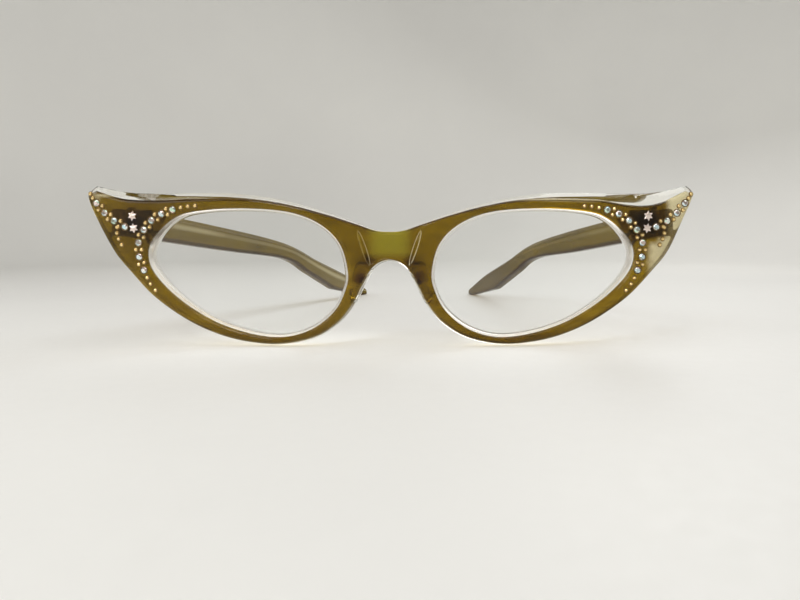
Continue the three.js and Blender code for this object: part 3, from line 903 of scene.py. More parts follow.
def make_crystal_back():
    hole = aperture
    net = flat_net(crystal_outline, [hole, mirror(hole)], EDGE_ROWS, 1.3)
    verts, _, away = net
    inner, inner_hole = olive_outline(), olive_aperture()
    covered = inside(verts, inner) & ~inside(verts, inner_hole) & ~inside(verts, mirror(inner_hole))
    past = edge_distance(verts, [inner, inner_hole, mirror(inner_hole)])
    share = np.where(covered, 0, past / np.maximum(past + away, 1e-6))
    front = OLIVE_THICKNESS + 0.02 + CHAMFER_DEPTH * share**1.25 * np.clip(past / 0.5, 0.35, 1)
    front = np.where(covered, OLIVE_THICKNESS + 0.02, front)
    back = FRONT_THICKNESS - rounded(away, 0.9, 0.9)
    return sheet_solid("crystal_back", net, front, back)


# %% [markdown]
# The olive sheet's colour isn't even, and much of it is painted light and shade. Painted shade
# turns it amber where the nose flanks are carved, along the brow edge and over the hinge, and it is
# darker towards the lower rims; it is a lighter green over the bridge; and painted highlights pale
# it in thin lines beside the bridge and along the lower edge, and in a glare over the right corner.
# So every point of the finished mesh gets a few numbers between 0 and 1, and the finish mixes by
# them.

# %% Colour of the olive sheet
# Widths of the painted lines: shade along the brow, highlights beside the bridge and along the
# lower edge.
BROW_SHADE_LINE = 0.5  # widths over which a coloured line along an edge fades, in mm
CREST_HIGHLIGHT_LINE = 0.12
RIM_HIGHLIGHT_LINE = 0.35


def name_values(piece, **fields):
    """Stores number fields on a piece's points, for its finish to read."""
    for name, values in fields.items():
        layer = piece.data.attributes.new(name, "FLOAT", "POINT")
        layer.data.foreach_set("value", np.asarray(values, np.float32))


def flat_places(piece):
    """Each point's (along, height) on the flat sheet, found back from its place on the curve."""
    points = np.empty(len(piece.data.vertices) * 3)
    piece.data.vertices.foreach_get("co", points)
    points = points.reshape(-1, 3) / MM - face_origin
    along = FRONT_RADIUS * np.arctan2(points[:, 0], FRONT_RADIUS - points[:, 1])
    return np.column_stack([along, points[:, 2]])


def colour_olive(piece):
    """Painted amber shade at nose flanks, brow and hinge, darker lower rims, green bridge, painted
    highlights.
    """
    places = flat_places(piece)
    x, z = np.abs(places[:, 0]), places[:, 1]
    painted_flank_shade = bump_at(x, 6.6, 3.2) * bump_at(z, 17.0, 9.0)
    painted_root_shade = bump_at(x, 4.6, 1.9) * bump_at(z, 20.4, 2.2)
    lower = np.clip((9 - z) / 9, 0, 1) * 0.55
    bridge = np.clip(1 - (x / 5.2) ** 4, 0, 1) * np.clip((z - 20.8) / 2, 0, 1)
    painted_spot_shade = bump_at(x, 7.3, 2.4) * bump_at(z, 16.3, 1.7)
    outline = olive_outline()
    brow = outline[(outline[:, 1] > 24) & (np.abs(outline[:, 0]) < 73)]
    line = np.clip(1.3 - line_distance(places, brow) / BROW_SHADE_LINE, 0, 1)
    line *= np.clip((z - 26) / 2, 0, 1)
    painted_hinge_shade = 1.1 * bump_at(x, 61.9, 4.9) * bump_at(z, 29.2, 4.4)
    # Painted shade: amber over the nose flanks, their roots and a spot beside them, a line along
    # the brow and the hinge seen through the sheet; darker towards the lower rims.
    amber = np.clip(0.6 * painted_flank_shade + painted_root_shade + lower + painted_spot_shade + line + painted_hinge_shade, 0, 1)
    # Painted highlights: thin crease lines beside the bridge, a line along the lower edge and a
    # glare over the right corner.
    painted_crest_highlight = np.zeros(len(places))
    for edge in crest_lines():
        gap = line_distance(places, edge)
        painted_crest_highlight = np.maximum(painted_crest_highlight, np.clip(1 - gap / CREST_HIGHLIGHT_LINE, 0, 1))
    lower_edge = outline[(outline[:, 1] < 36) & (np.abs(outline[:, 0]) > 5)]
    lower_edge = lower_edge[edge_distance(lower_edge, [front_outline(OLIVE_BROW)]) > 0.2]
    painted_rim_highlight = np.clip(1.3 - edge_distance(places, [lower_edge]) / RIM_HIGHLIGHT_LINE, 0, 1)
    # Painted glare over the right corner only, since the place here is not mirrored.
    painted_tip_glare = np.clip((places[:, 0] - 62 - 4.5 * np.clip((z - 24) / 2, 0, 1)) / 1.4, 0, 1)
    painted_tip_glare *= np.clip((z - 13) / 6, 0, 1) * (0.85 + 0.15 * np.clip((z - 26) / 6, 0, 1))
    pale = np.maximum.reduce([0.95 * painted_crest_highlight, 0.75 * painted_rim_highlight, painted_tip_glare])
    name_values(piece, amber=amber, green=0.8 * bridge, pale=pale)


# %% [markdown]
# Each upswept corner ends in a small flat that is sawn across both sheets. Cutting the finished
# meshes with one plane gives the same flat to both, and the hole that the cut leaves is closed.

# %% The flat at each corner
FACET_POINT = (72.0, 0.9, 36.9)
FACET_FACING = (0.3, -0.6, 0.75)
CORNER_FROM = 60 * MM  # only faces further out than this are cut


def cut_tip_facets(piece):
    """Saws the small flat across each corner of the front and polishes it."""
    mesh = bmesh.new()
    mesh.from_mesh(piece.data)
    for sign in (-1, 1):
        along, depth, height = FACET_POINT
        point = bend_front([(sign * along, depth, height)])[0]
        turn = Matrix.Rotation(sign * along / FRONT_RADIUS, 3, "Z")
        facing = turn @ Vector((sign * FACET_FACING[0], FACET_FACING[1],
                                FACET_FACING[2])).normalized()
        near = [face for face in mesh.faces if sign * face.calc_center_median().x > CORNER_FROM]
        geometry = [*near, *(e for f in near for e in f.edges), *(v for f in near for v in f.verts)]
        geometry = list(dict.fromkeys(geometry))  # each once, in the same order every run
        cut = bmesh.ops.bisect_plane(mesh, geom=geometry, plane_co=point, plane_no=facing,
                                     clear_outer=True)
        rim = [item for item in cut["geom_cut"] if isinstance(item, bmesh.types.BMEdge)]
        if rim:
            bmesh.ops.holes_fill(mesh, edges=rim, sides=0)
            for edge in rim:
                edge.smooth = False
    mesh.to_mesh(piece.data)
    mesh.free()


# %% Both sheets, cut and coloured
olive_face = make_olive_face()
crystal_back = make_crystal_back()
crystal_places = flat_places(crystal_back)
wall = edge_distance(crystal_places, [aperture, mirror(aperture)])
temple_side = np.clip((np.abs(crystal_places[:, 0]) - 44) / 14, 0, 1)
sawn = smooth_curve(across_bridge(LOWER_EDGE[::-1]))
sawn = sawn[(sawn[:, 1] < 34) & (np.abs(sawn[:, 0]) > 14)]
rim = line_distance(crystal_places, sawn)
frost = np.maximum(1 - wall / (0.25 + 0.5 * temple_side), 0.6 * (1 - rim / 0.6))
name_values(crystal_back, frost=np.clip(frost, 0, 1))
cut_tip_facets(crystal_back)
cut_tip_facets(olive_face)
colour_olive(olive_face)
finish_piece(olive_face, olive_acetate, "front", "olive_acetate", "front_olive_layer")
finish_piece(crystal_back, crystal_acetate, "front", "crystal_acetate", "front_crystal_layer")

# %% [markdown]
# A lens is a curved disc whose edge is ground to a shallow ridge that snaps into the groove of the
# rim. Rings of the aperture's own shape, drawn in towards the middle, follow that edge exactly;
# the same rings carry the front and the back surface, which bulge a little to the front.

# %% Lenses
LENS_MIDDLE = 2.75
LENS_HALF = 0.95
LENS_RIDGE = -0.04
LENS_INSET = 0.35
LENS_BULGE = 0.55


def make_lens(name, loop):
    middle = loop.mean(axis=0)
    flat_edge = offset_loop(loop, -LENS_INSET)
    rings = [(offset_loop(loop, LENS_RIDGE), 0.06, 0.0)]
    for share in (0.0, 0.02, 0.06, 0.14, 0.26, 0.40, 0.55, 0.70, 0.85, 0.95):
        bulge = LENS_BULGE * (1 - (1 - share) ** 2)
        rings.append((flat_edge + (middle - flat_edge) * share, LENS_HALF, bulge))
    mesh = bmesh.new()
    skins = []
    for side in (-1, 1):
        skin = []
        for ring, half, bulge in rings:
            depth = np.full(len(ring), LENS_MIDDLE + side * half - bulge)
            points = bend_front(np.column_stack([ring[:, 0], depth, ring[:, 1]]))
            skin.append([mesh.verts.new(point) for point in points])
        skins.append(skin)
    for i in range(len(loop)):
        after = (i + 1) % len(loop)
        mesh.faces.new((skins[0][0][i], skins[0][0][after], skins[1][0][after], skins[1][0][i]))
    for skin in skins:
        for outer, inner in zip(skin, skin[1:]):
            for i in range(len(outer)):
                after = (i + 1) % len(outer)
                mesh.faces.new((outer[i], outer[after], inner[after], inner[i]))
        mesh.faces.new(skin[-1])
    ground = [1.0] * (2 * len(loop)) + [0.0] * (len(loop) * (len(rings) - 2))
    bmesh.ops.recalc_face_normals(mesh, faces=mesh.faces)
    lens = to_object(name, mesh)
    name_values(lens, frost=ground * 2)
    return lens


for side, loop in (("left", mirror(aperture)), ("right", aperture)):
    lens = make_lens(f"clear_lens_{side}", loop)
    finish_piece(lens, lens_glass, "front", "lens", f"lens_{side}")

# %% [markdown]
# The nose pads are little clear wedges cemented behind the rims and filed smooth. Each is a loft:
# a leaf-shaped outline that shrinks and rounds over as it stands back from the sheet.

# %% Nose pads
PAD = [(9.0, 9.6), (7.0, 13.4), (5.4, 17.0), (5.6, 19.6), (8.0, 20.0), (9.2, 16.6), (10.0, 12.2)]
PAD_HEIGHT = 3.2


def make_pad(name, loop):
    mesh = bmesh.new()
    rings = []
    middle = loop.mean(axis=0)
    for step in range(9):
        turn = step * math.pi / 16
        shrink = 1 - 0.62 * (1 - math.cos(turn))
        depth = FRONT_THICKNESS + 0.02 + PAD_HEIGHT * math.sin(turn)
        ring = middle + (loop - middle) * shrink
        points = bend_front(np.column_stack([ring[:, 0], np.full(len(ring), depth), ring[:, 1]]))
        rings.append([mesh.verts.new(point) for point in points])
    for low, high in zip(rings, rings[1:]):
        for i in range(len(low)):
            after = (i + 1) % len(low)
            mesh.faces.new((low[i], low[after], high[after], high[i]))
    mesh.faces.new(rings[0])
    mesh.faces.new(rings[-1])
    bmesh.ops.recalc_face_normals(mesh, faces=mesh.faces)
    return to_object(name, mesh)


pad_loop = anticlockwise(smooth_curve(PAD, closed=True, spacing=0.5))
for side, loop in (("left", mirror(pad_loop)), ("right", pad_loop)):
    pad = make_pad(f"pad_{side}", loop)
    finish_piece(pad, crystal_acetate, "front", "crystal_acetate", f"nose_pad_{side}")

# %% [markdown]
# Stones, studs and star rivets all repeat over the corners, so Geometry Nodes set them out. The
# tree takes a scatter of points, each with a turn that lays it square on the curved front, puts
# one small piece on every point, gives each copy its own tint number, and joins them all.


# %% The setting-out tree
def make_setting_tree():
    tree = bpy.data.node_groups.new("set on points", "GeometryNodeTree")
    face = tree.interface
    face.new_socket("Points", in_out="INPUT", socket_type="NodeSocketGeometry")
    face.new_socket("Piece", in_out="INPUT", socket_type="NodeSocketObject")
    face.new_socket("Size", in_out="INPUT", socket_type="NodeSocketFloat").default_value = 1.0
    face.new_socket("Size Variation", in_out="INPUT",
                    socket_type="NodeSocketFloat").default_value = 0.0
    face.new_socket("Finish", in_out="INPUT", socket_type="NodeSocketMaterial")
    face.new_socket("Seed", in_out="INPUT", socket_type="NodeSocketInt").default_value = 1
    face.new_socket("Geometry", in_out="OUTPUT", socket_type="NodeSocketGeometry")
    nodes, link = tree.nodes, tree.links.new
    source, sink = nodes.new("NodeGroupInput"), nodes.new("NodeGroupOutput")

    turn = nodes.new("GeometryNodeInputNamedAttribute")
    turn.data_type = "FLOAT_VECTOR"
    turn.inputs["Name"].default_value = "turn"
    to_rotation = nodes.new("FunctionNodeEulerToRotation")
    link(turn.outputs["Attribute"], to_rotation.inputs[0])

    vary = nodes.new("FunctionNodeRandomValue")
    vary.data_type = "FLOAT"
    link(source.outputs["Seed"], vary.inputs["Seed"])
    spread = nodes.new("ShaderNodeMapRange")
    link(vary.outputs[1], spread.inputs["Value"])
    spread.inputs["To Min"].default_value = 1.0
    more = nodes.new("ShaderNodeMath")
    more.operation = "ADD"
    more.inputs[0].default_value = 1.0
    link(source.outputs["Size Variation"], more.inputs[1])
    link(more.outputs[0], spread.inputs["To Max"])
    scale = nodes.new("ShaderNodeMath")
    scale.operation = "MULTIPLY"
    link(spread.outputs[0], scale.inputs[0])
    link(source.outputs["Size"], scale.inputs[1])

    info = nodes.new("GeometryNodeObjectInfo")
    link(source.outputs["Piece"], info.inputs["Object"])
    place = nodes.new("GeometryNodeInstanceOnPoints")
    link(source.outputs["Points"], place.inputs["Points"])
    link(info.outputs["Geometry"], place.inputs["Instance"])
    link(to_rotation.outputs[0], place.inputs["Rotation"])
    link(scale.outputs[0], place.inputs["Scale"])

    tint = nodes.new("FunctionNodeRandomValue")
    tint.data_type = "FLOAT"
    link(source.outputs["Seed"], tint.inputs["Seed"])
    store = nodes.new("GeometryNodeStoreNamedAttribute")
    store.data_type = "FLOAT"
    store.domain = "INSTANCE"
    store.inputs["Name"].default_value = "tint"
    link(place.outputs[0], store.inputs["Geometry"])
    link(tint.outputs[1], store.inputs["Value"])

    realize = nodes.new("GeometryNodeRealizeInstances")
    paint = nodes.new("GeometryNodeSetMaterial")
    link(store.outputs[0], realize.inputs[0])
    link(realize.outputs[0], paint.inputs["Geometry"])
    link(source.outputs["Finish"], paint.inputs["Material"])
    link(paint.outputs[0], sink.inputs[0])
    return tree


setting_tree = make_setting_tree()


def set_inputs(modifier, values):
    """Sets a modifier's inputs by socket identifier, found from the socket's name."""
    for item in modifier.node_group.interface.items_tree:
        if item.item_type == "SOCKET" and item.in_out == "INPUT" and item.name in values:
            modifier[item.identifier] = values[item.name]


def set_on_front(name, places, depth, piece, finish, seed, size=1.0, variation=0.0, spin=None):
    """Copies of piece at (along, height) places on the front, joined into one plain mesh."""
    data = bpy.data.meshes.new(name + "_points")
    points = bend_front([(x, depth, z) for x, z in places])
    data.from_pydata([tuple(point) for point in points], [], [])
    turns = data.attributes.new("turn", "FLOAT_VECTOR", "POINT")
    for i, (x, z) in enumerate(places):
        own = Euler((0, spin[i] if spin else 0, 0)).to_matrix()
        lay = Euler((0, 0, x / FRONT_RADIUS)).to_matrix()
        turns.data[i].vector = (lay @ own).to_euler()
    holder = bpy.data.objects.new(name + "_points", data)
    bpy.context.scene.collection.objects.link(holder)
    modifier = holder.modifiers.new("set", "NODES")
    modifier.node_group = setting_tree
    set_inputs(modifier, {"Piece": piece, "Size": size, "Size Variation": variation,
                          "Finish": finish, "Seed": seed})
    graph = bpy.context.evaluated_depsgraph_get()
    joined = bpy.data.meshes.new_from_object(holder.evaluated_get(graph))
    joined.name = name
    made = bpy.data.objects.new(name, joined)
    bpy.context.scene.collection.objects.link(made)
    bpy.data.objects.remove(holder)
    bpy.data.objects.remove(piece)
    print(name, "copies:", len(places), "faces:", len(joined.polygons))
    return made


# %% [markdown]
# The spray: three arms of stones start near the star rivets and run to the tip, along the brow and
# down beside the lens. A pair of studs fills each gap between two stones, and each arm trails off
# in single studs. One short arm of studs alone runs down on the outside.

# %% Where the stones and studs go
ARMS = [
    {"stones": 4, "from": (64.2, 28.4), "bend": (68.6, 30.2), "to": (71.4, 34.1)},
    {"stones": 4, "from": (59.3, 27.7), "bend": (56.8, 31.3), "to": (51.8, 32.4)},
    {"stones": 3, "from": (60.8, 24.6), "bend": (61.3, 21.2), "to": (59.7, 18.0)},
]
RIM_ARM_ROOT = (59.3, 27.7)
TAILS = [
    [(72.3, 35.3), (72.9, 36.3)],
    [(49.7, 32.9), (47.9, 33.2), (46.1, 33.3)],
    [(58.9, 16.2), (58.1, 14.7), (56.9, 13.2)],
]
OUTER_ARM = [(66.2, 28.3), (66.3, 26.9), (65.9, 25.5), (65.2, 24.1)]
STUD_SPREAD = 0.72
STARS = [(62.0, 31.0), (61.8, 28.1)]


def arm_points(arm):
    """Evenly spaced places along one arm's curve."""
    a, b, c = (np.array(arm[key]) for key in ("from", "bend", "to"))
    dense = [a * (1 - t) ** 2 + 2 * b * t * (1 - t) + c * t**2 for t in np.linspace(0, 1, 60)]
    run = np.concatenate([[0], np.cumsum(np.linalg.norm(np.diff(dense, axis=0), axis=1))])
    marks = np.linspace(0, run[-1], arm["stones"])
    return [tuple(np.interp(mark, run, np.array(dense)[:, axis]) for axis in (0, 1))
            for mark in marks]


def stud_pairs(stones):
    """Two studs either side of the middle of each gap between neighbouring stones."""
    pairs = []
    for a, b in zip(stones, stones[1:]):
        a, b = np.array(a), np.array(b)
        along = (b - a) / np.linalg.norm(b - a)
        across = np.array([-along[1], along[0]]) * STUD_SPREAD
        pairs += [tuple((a + b) / 2 + across), tuple((a + b) / 2 - across)]
    return pairs


stone_arms = [arm_points(arm) for arm in ARMS]
one_side_stones = [place for arm in stone_arms for place in arm]
one_side_studs = stud_pairs(stone_arms[0]) + stud_pairs(stone_arms[1])
one_side_studs += stud_pairs([RIM_ARM_ROOT, *stone_arms[2]])
one_side_studs += [place for tail in TAILS for place in tail] + OUTER_ARM


def both_sides(places):
    return [(-x, z) for x, z in places] + list(places)


print("stones:", 2 * len(one_side_stones), "studs:", 2 * len(one_side_studs))

# %% [markdown]
# A rhinestone is a low brilliant: an eight-sided table, a ring of triangular and kite facets down
# to a sixteen-sided girdle, and a foil cone below. Flat faces, not smoothed ones, make it flash.
# It is set in a thin dark cup whose lip stands just proud of the acetate, and the cup's darkness
# paints the shadow of its pocket.

# %% Stone, cup, stud and star
STONE_RADIUS = 0.84
STUD_RADIUS = 0.45
STAR_RADIUS = 1.28
STAR_WAIST = 0.72


def ring_points(count, radius, depth, turn=0.0):
    """Points round the axis that points into the front, which is the Y axis."""
    angles = [2 * math.pi * i / count + turn for i in range(count)]
    return [(radius * math.cos(a) * MM, depth * MM, radius * math.sin(a) * MM) for a in angles]


def skin_rings(mesh, rings):
    for low, high in zip(rings, rings[1:]):
        for i in range(len(low)):
            after = (i + 1) % len(low)
            mesh.faces.new((low[i], low[after], high[after], high[i]))


def turned_mesh(profile, count=24):
    """A round bmesh about the Y axis from (radius, depth) pairs; ends on the axis are closed."""
    mesh = bmesh.new()
    rings = [[mesh.verts.new(p) for p in ring_points(count, radius, depth)]
             for radius, depth in profile]
    skin_rings(mesh, rings)
    mesh.faces.new(rings[0])
    mesh.faces.new(rings[-1])
    bmesh.ops.recalc_face_normals(mesh, faces=mesh.faces)
    return mesh


def make_stone():
    mesh = bmesh.new()
    r = STONE_RADIUS
    step = math.pi / 8
    girdle = [mesh.verts.new(p) for p in ring_points(16, r, 0.0)]
    crown = [mesh.verts.new(p) for p in ring_points(8, r * 0.80, -0.24, step / 2)]
    table = [mesh.verts.new(p) for p in ring_points(8, r * 0.50, -0.40, step / 2 + step)]
    point = mesh.verts.new((0, 0.42 * MM, 0))
    for i in range(8):
        after = (i + 1) % 8
        a, b, c = girdle[2 * i], girdle[2 * i + 1], girdle[(2 * i + 2) % 16]
        mesh.faces.new((a, b, crown[i]))
        mesh.faces.new((b, c, crown[after], crown[i]))
        mesh.faces.new((crown[i], crown[after], table[i]))
        mesh.faces.new((crown[after], table[after], table[i]))
        mesh.faces.new((girdle[2 * i], point, girdle[(2 * i + 2) % 16], girdle[2 * i + 1]))
    mesh.faces.new(table)
    bmesh.ops.recalc_face_normals(mesh, faces=mesh.faces)
    return to_object("stone", mesh, smooth=False)


# %% [markdown]
# A stone sits in a thin dark cup, which paints the shadow of its pocket. A stud is a low dome with
# nine plain sides, which catches the light as a worn bead does, in a seat that shows round it as a
# dark ring of painted shadow. A star is the head of a rivet that goes through both sheets and the
# hinge leaf.

# %% Cup, stud, seat and star
# The cup's dark metal paints the shadow of the stone's pocket.
def make_cup():
    r = STONE_RADIUS
    profile = [(r + 0.02, 0.10), (r + 0.02, -0.10), (r + 0.07, -0.15), (r + 0.14, -0.10),
               (r + 0.16, 0.06)]
    mesh = bmesh.new()
    rings = [[mesh.verts.new(p) for p in ring_points(20, radius, depth)]
             for radius, depth in profile]
    skin_rings(mesh, rings + [rings[0]])
    bmesh.ops.recalc_face_normals(mesh, faces=mesh.faces)
    return to_object("cup", mesh)


def make_stud():
    r = STUD_RADIUS
    dome = [(r * math.cos(a), -0.46 * math.sin(a)) for a in (0.45, 0.85, 1.2)]
    mesh = turned_mesh([(r, 0.15), (r, 0.0)] + dome, 9)
    return to_object("stud", mesh, smooth=False)


def make_seat():
    """A dark ring of painted shadow where a stud's hole shows round its dome."""
    r = STUD_RADIUS
    profile = [(r - 0.08, 0.08), (r - 0.08, -0.015), (r + 0.15, -0.02), (r + 0.18, 0.02),
               (r + 0.18, 0.08)]
    mesh = bmesh.new()
    rings = [[mesh.verts.new(p) for p in ring_points(14, radius, depth)]
             for radius, depth in profile]
    skin_rings(mesh, rings + [rings[0]])
    bmesh.ops.recalc_face_normals(mesh, faces=mesh.faces)
    return to_object("seat", mesh)


def make_star():
    """A six-pointed star with a raised, faceted top, on a pin that runs through the front."""
    mesh = bmesh.new()

    def star_ring(scale, depth):
        ring = []
        for i in range(12):
            radius = (STAR_WAIST if i % 2 else STAR_RADIUS) * scale
            angle = i * math.pi / 6 + math.pi / 2
            ring.append(mesh.verts.new((radius * math.cos(angle) * MM, depth * MM,
                                        radius * math.sin(angle) * MM)))
        return ring

    rings = [star_ring(0.98, -0.04), star_ring(1.0, -0.10), star_ring(0.98, -0.26),
             star_ring(0.86, -0.34)]
    skin_rings(mesh, rings)
    mesh.faces.new(rings[0])
    tip = mesh.verts.new((0, -0.44 * MM, 0))
    for i in range(12):
        mesh.faces.new((rings[-1][i], rings[-1][(i + 1) % 12], tip))
    bmesh.ops.recalc_face_normals(mesh, faces=mesh.faces)
    pin = turned_mesh([(0.55, -0.03), (0.6, 0.0), (0.6, 5.2), (0.92, 5.22), (0.9, 5.4), (0.5, 5.6)],
                      20)
    both = bpy.data.meshes.new("pin")
    pin.to_mesh(both)
    pin.free()
    mesh.from_mesh(both)
    return to_object("star", mesh, smooth=False)


stone_places = both_sides(one_side_stones)
stud_places = both_sides(one_side_studs)
star_places = both_sides(STARS)
stone_nodes = sorted(name for name in frame["nodes"] if name.startswith("rhinestone_"))
star_nodes = sorted(name for name in frame["nodes"] if name.startswith("star_rivet_"))
stone_spin = [0.37 * i for i in range(len(stone_places))]
star_spin = [0.12, -0.10, -0.08, 0.16]

stones = set_on_front("rhinestones", stone_places, 0, make_stone(), rhinestone_glass, 11,
                      spin=stone_spin)
finish_piece(stones, None, "front", "rhinestone", *stone_nodes)
shadow_cups = set_on_front("stone_cups", stone_places, 0, make_cup(), painted_shadow_metal, 12)
finish_piece(shadow_cups, None, "front", "star_metal")
studs = set_on_front("gold_studs", stud_places, 0, make_stud(), gold, 13, size=0.96, variation=0.1)
finish_piece(studs, None, "front", "star_metal")
shadow_seats = set_on_front("stud_seats", stud_places, 0, make_seat(), painted_shadow_metal, 15, size=0.96)
finish_piece(shadow_seats, None, "front", "star_metal")
stars = set_on_front("star_rivets", star_places, 0, make_star(), star_plate, 14, spin=star_spin)
finish_piece(stars, None, "front", "star_metal", *star_nodes)

# %% [markdown]
# Each temple is a loft along its length. Its side view gives a top and a bottom line: straight
# and tapering to the bend behind the ear, then down to a heel and out to a point. The section is
# a small slab with rounded corners and one broad chamfer along its upper inner edge. Just below
# that chamfer a pale line of painted highlight runs along the inner face, stronger on the left
# temple, and painted shade darkens the lower inner corner, the top edge and the right paddle.

# %% Temples
TEMPLE_START = -1.15  # ahead of the hinge axis
TEMPLE_LENGTH = 139  # hinge axis to tip
TEMPLE_TOP = [(TEMPLE_START, 33.0), (20, 31.0), (70, 24.0), (96, 16.4), (120, 9.4),
              (TEMPLE_LENGTH, 2.1)]
TEMPLE_UNDER = [(TEMPLE_START, 26.3), (40, 21.5), (72, 18.0), (88, 12.1), (107, 4.7)]
TEMPLE_PADDLE = [(107, 4.7), (116, 3.1), (125, 1.5), (133, 0.15), (TEMPLE_LENGTH, 0.05)]
TEMPLE_THICKNESS = 3.6
TEMPLE_STANDOFF = 1.6
INNER_CHAMFER = 1.25
INNER_ROWS = 14
# Painted light on the temples: a pale highlight band on the inner face, stronger on the left, and
# amber shade on the right paddle.
HIGHLIGHT_ROW = 2.2
HIGHLIGHT_ROWS = 3.2
PADDLE_PAINTED_SHADE = {"left": 0.0, "right": 0.55}
HIGHLIGHT_STRENGTH = {"left": (0.8, 0.75, 0.3, 0.4, 0.8, 0.8),
                 "right": (0.25, 0.2, 0.1, 0.08, 0.04, 0.0)}

HIGHLIGHT_STATIONS = (0, 30, 40, 78, 98, TEMPLE_LENGTH)
TIP_ROUNDING = 2.6
TIP_THINNING = 1.2
REST_SWING = math.radians(18.5)  # both temples stand part folded

swing = {"left": REST_SWING, "right": REST_SWING}


def corner_arc(a, b, c, radius, steps=5):
    """Points that round the corner b between a and c."""
    a, b, c = (np.array(p, float) for p in (a, b, c))
    reach_in = min(radius, np.linalg.norm(a - b) * 0.45)
    reach_out = min(radius, np.linalg.norm(c - b) * 0.45)
    start = b + (a - b) / np.linalg.norm(a - b) * reach_in
    end = b + (c - b) / np.linalg.norm(c - b) * reach_out
    return [start * (1 - t) ** 2 + 2 * b * t * (1 - t) + end * t**2
            for t in np.linspace(0, 1, steps)]


def temple_section(low, high, thick):
    """The section at one place, from the inner face (0) to the outer one (thick)."""
    height = high - low
    cut = min(INNER_CHAMFER, 0.28 * height, 0.4 * thick)
    corners = [
        ((0, low), 0.55), ((thick, low), 0.8), ((thick, high), 0.9), ((cut, high), 0.25),
        ((0, high - cut), 0.25),
    ]
    points = []
    for i, (corner, radius) in enumerate(corners):
        before = corners[i - 1][0]
        after = corners[(i + 1) % len(corners)][0]
        points += corner_arc(before, corner, after, min(radius, 0.3 * height))
    first, last = np.array(points[-1]), np.array(points[0])
    points += [first + (last - first) * share for share in np.linspace(0, 1, INNER_ROWS + 2)[1:-1]]
    return np.array(points)


def hinge_place(side):
    """Where the hinge axis stands, in mm."""
    return np.array(joints[f"hinge_{side}"]["pos_m"]) / MM


def on_temple(points, side):
    """Temple points (outboard, along, up) in mm, placed at rest beside their hinge, in metres."""
    points = np.asarray(points, float)
    sign = -1 if side == "left" else 1
    angle = swing[side]
    out = points[:, 0] * math.cos(angle) - points[:, 1] * math.sin(angle)
    along = points[:, 0] * math.sin(angle) + points[:, 1] * math.cos(angle)
    hinge = hinge_place(side)
    x = hinge[0] + sign * out
    return np.column_stack([x, hinge[1] + along, points[:, 2] + face_origin[2]]) * MM


def profile_lines():
    top = smooth_curve(TEMPLE_TOP, spacing=1.0)
    under = smooth_curve(TEMPLE_UNDER, spacing=1.0)
    paddle = smooth_curve(TEMPLE_PADDLE, spacing=1.0)
    bottom = np.vstack([under, paddle[1:]])
    return top, bottom


# %% [markdown]
# The loft walks along the temple and places one section at each station. The sections close in at
# both ends, so the arm ends in rounded faces and not in sharp cut ones.

# %% One temple
def make_temple(side):
    top, bottom = profile_lines()
    tip_steps = 1 - np.sin(np.linspace(0, math.pi / 2, 8))
    stations = np.concatenate([np.linspace(TEMPLE_START, -0.6, 3), np.arange(0, 136, 1.4),
                               TEMPLE_LENGTH - TIP_ROUNDING * tip_steps])
    mesh = bmesh.new()
    rings = []
    for s in stations:
        high = float(np.interp(s, top[:, 0], top[:, 1]))
        low = float(np.interp(s, bottom[:, 0], bottom[:, 1]))
        thick = TEMPLE_THICKNESS - TIP_THINNING * np.clip((s - 95) / 44, 0, 1)
        inner = TEMPLE_STANDOFF + 0.5 * (TEMPLE_THICKNESS - thick)
        section = temple_section(low, high, thick)
        near_tip = max(0.0, (s - (TEMPLE_LENGTH - TIP_ROUNDING)) / TIP_ROUNDING)
        ease = math.sqrt(max(0.0, 1 - near_tip**2)) if near_tip > 0 else 1.0
        start = 0.94 if s < -1.1 else (0.985 if s < -0.8 else 1.0)
        middle = np.array([thick / 2, low if near_tip > 0 else (low + high) / 2])
        section = middle + (section - middle) * max(0.12, ease) * start  # closes in at both ends
        points = np.column_stack([section[:, 0] + inner, np.full(len(section), s), section[:, 1]])
        rings.append([mesh.verts.new(p) for p in on_temple(points, side)])
    skin_rings(mesh, rings)
    mesh.faces.new(rings[0])
    mesh.faces.new(rings[-1])
    bmesh.ops.recalc_face_normals(mesh, faces=mesh.faces)
    arm = to_object(f"temple_{side}_arm", mesh)
    rows = len(rings[0])
    # Painted highlight band on the inner face, just below the chamfer.
    painted_highlight_band = np.zeros(rows)
    painted_highlight_band[rows - INNER_ROWS:] = bump_at(np.arange(INNER_ROWS), HIGHLIGHT_ROW, HIGHLIGHT_ROWS)
    strength = np.interp(stations, HIGHLIGHT_STATIONS, HIGHLIGHT_STRENGTH[side])
    # Painted shade along the lower inner corner and the top edge, and over the right temple's
    # paddle.
    low = np.zeros(rows)
    low[0:5] = 1.0
    low[-1] = 0.6
    low[15:25] = 0.25
    paddle = PADDLE_PAINTED_SHADE[side] * np.clip((stations - 60) / 40, 0, 1)
    amber = np.maximum(low[None], paddle[:, None])
    name_values(arm, pale=np.outer(strength, painted_highlight_band).ravel(), amber=amber.ravel())
    return arm


for side in ("left", "right"):
    arm = make_temple(side)
    finish_piece(arm, temple_acetate, f"temple_{side}", "olive_acetate", f"temple_{side}")

# %% [markdown]
# The hinge is five knuckles on a slotted screw, three on the front's leaf and two on the
# temple's. Plates and knuckles are filed with small chamfers, so each block here is bevelled.
# Both leaves are drawn about the hinge axis and then placed: one square to the front, the other
# turned with the temple.

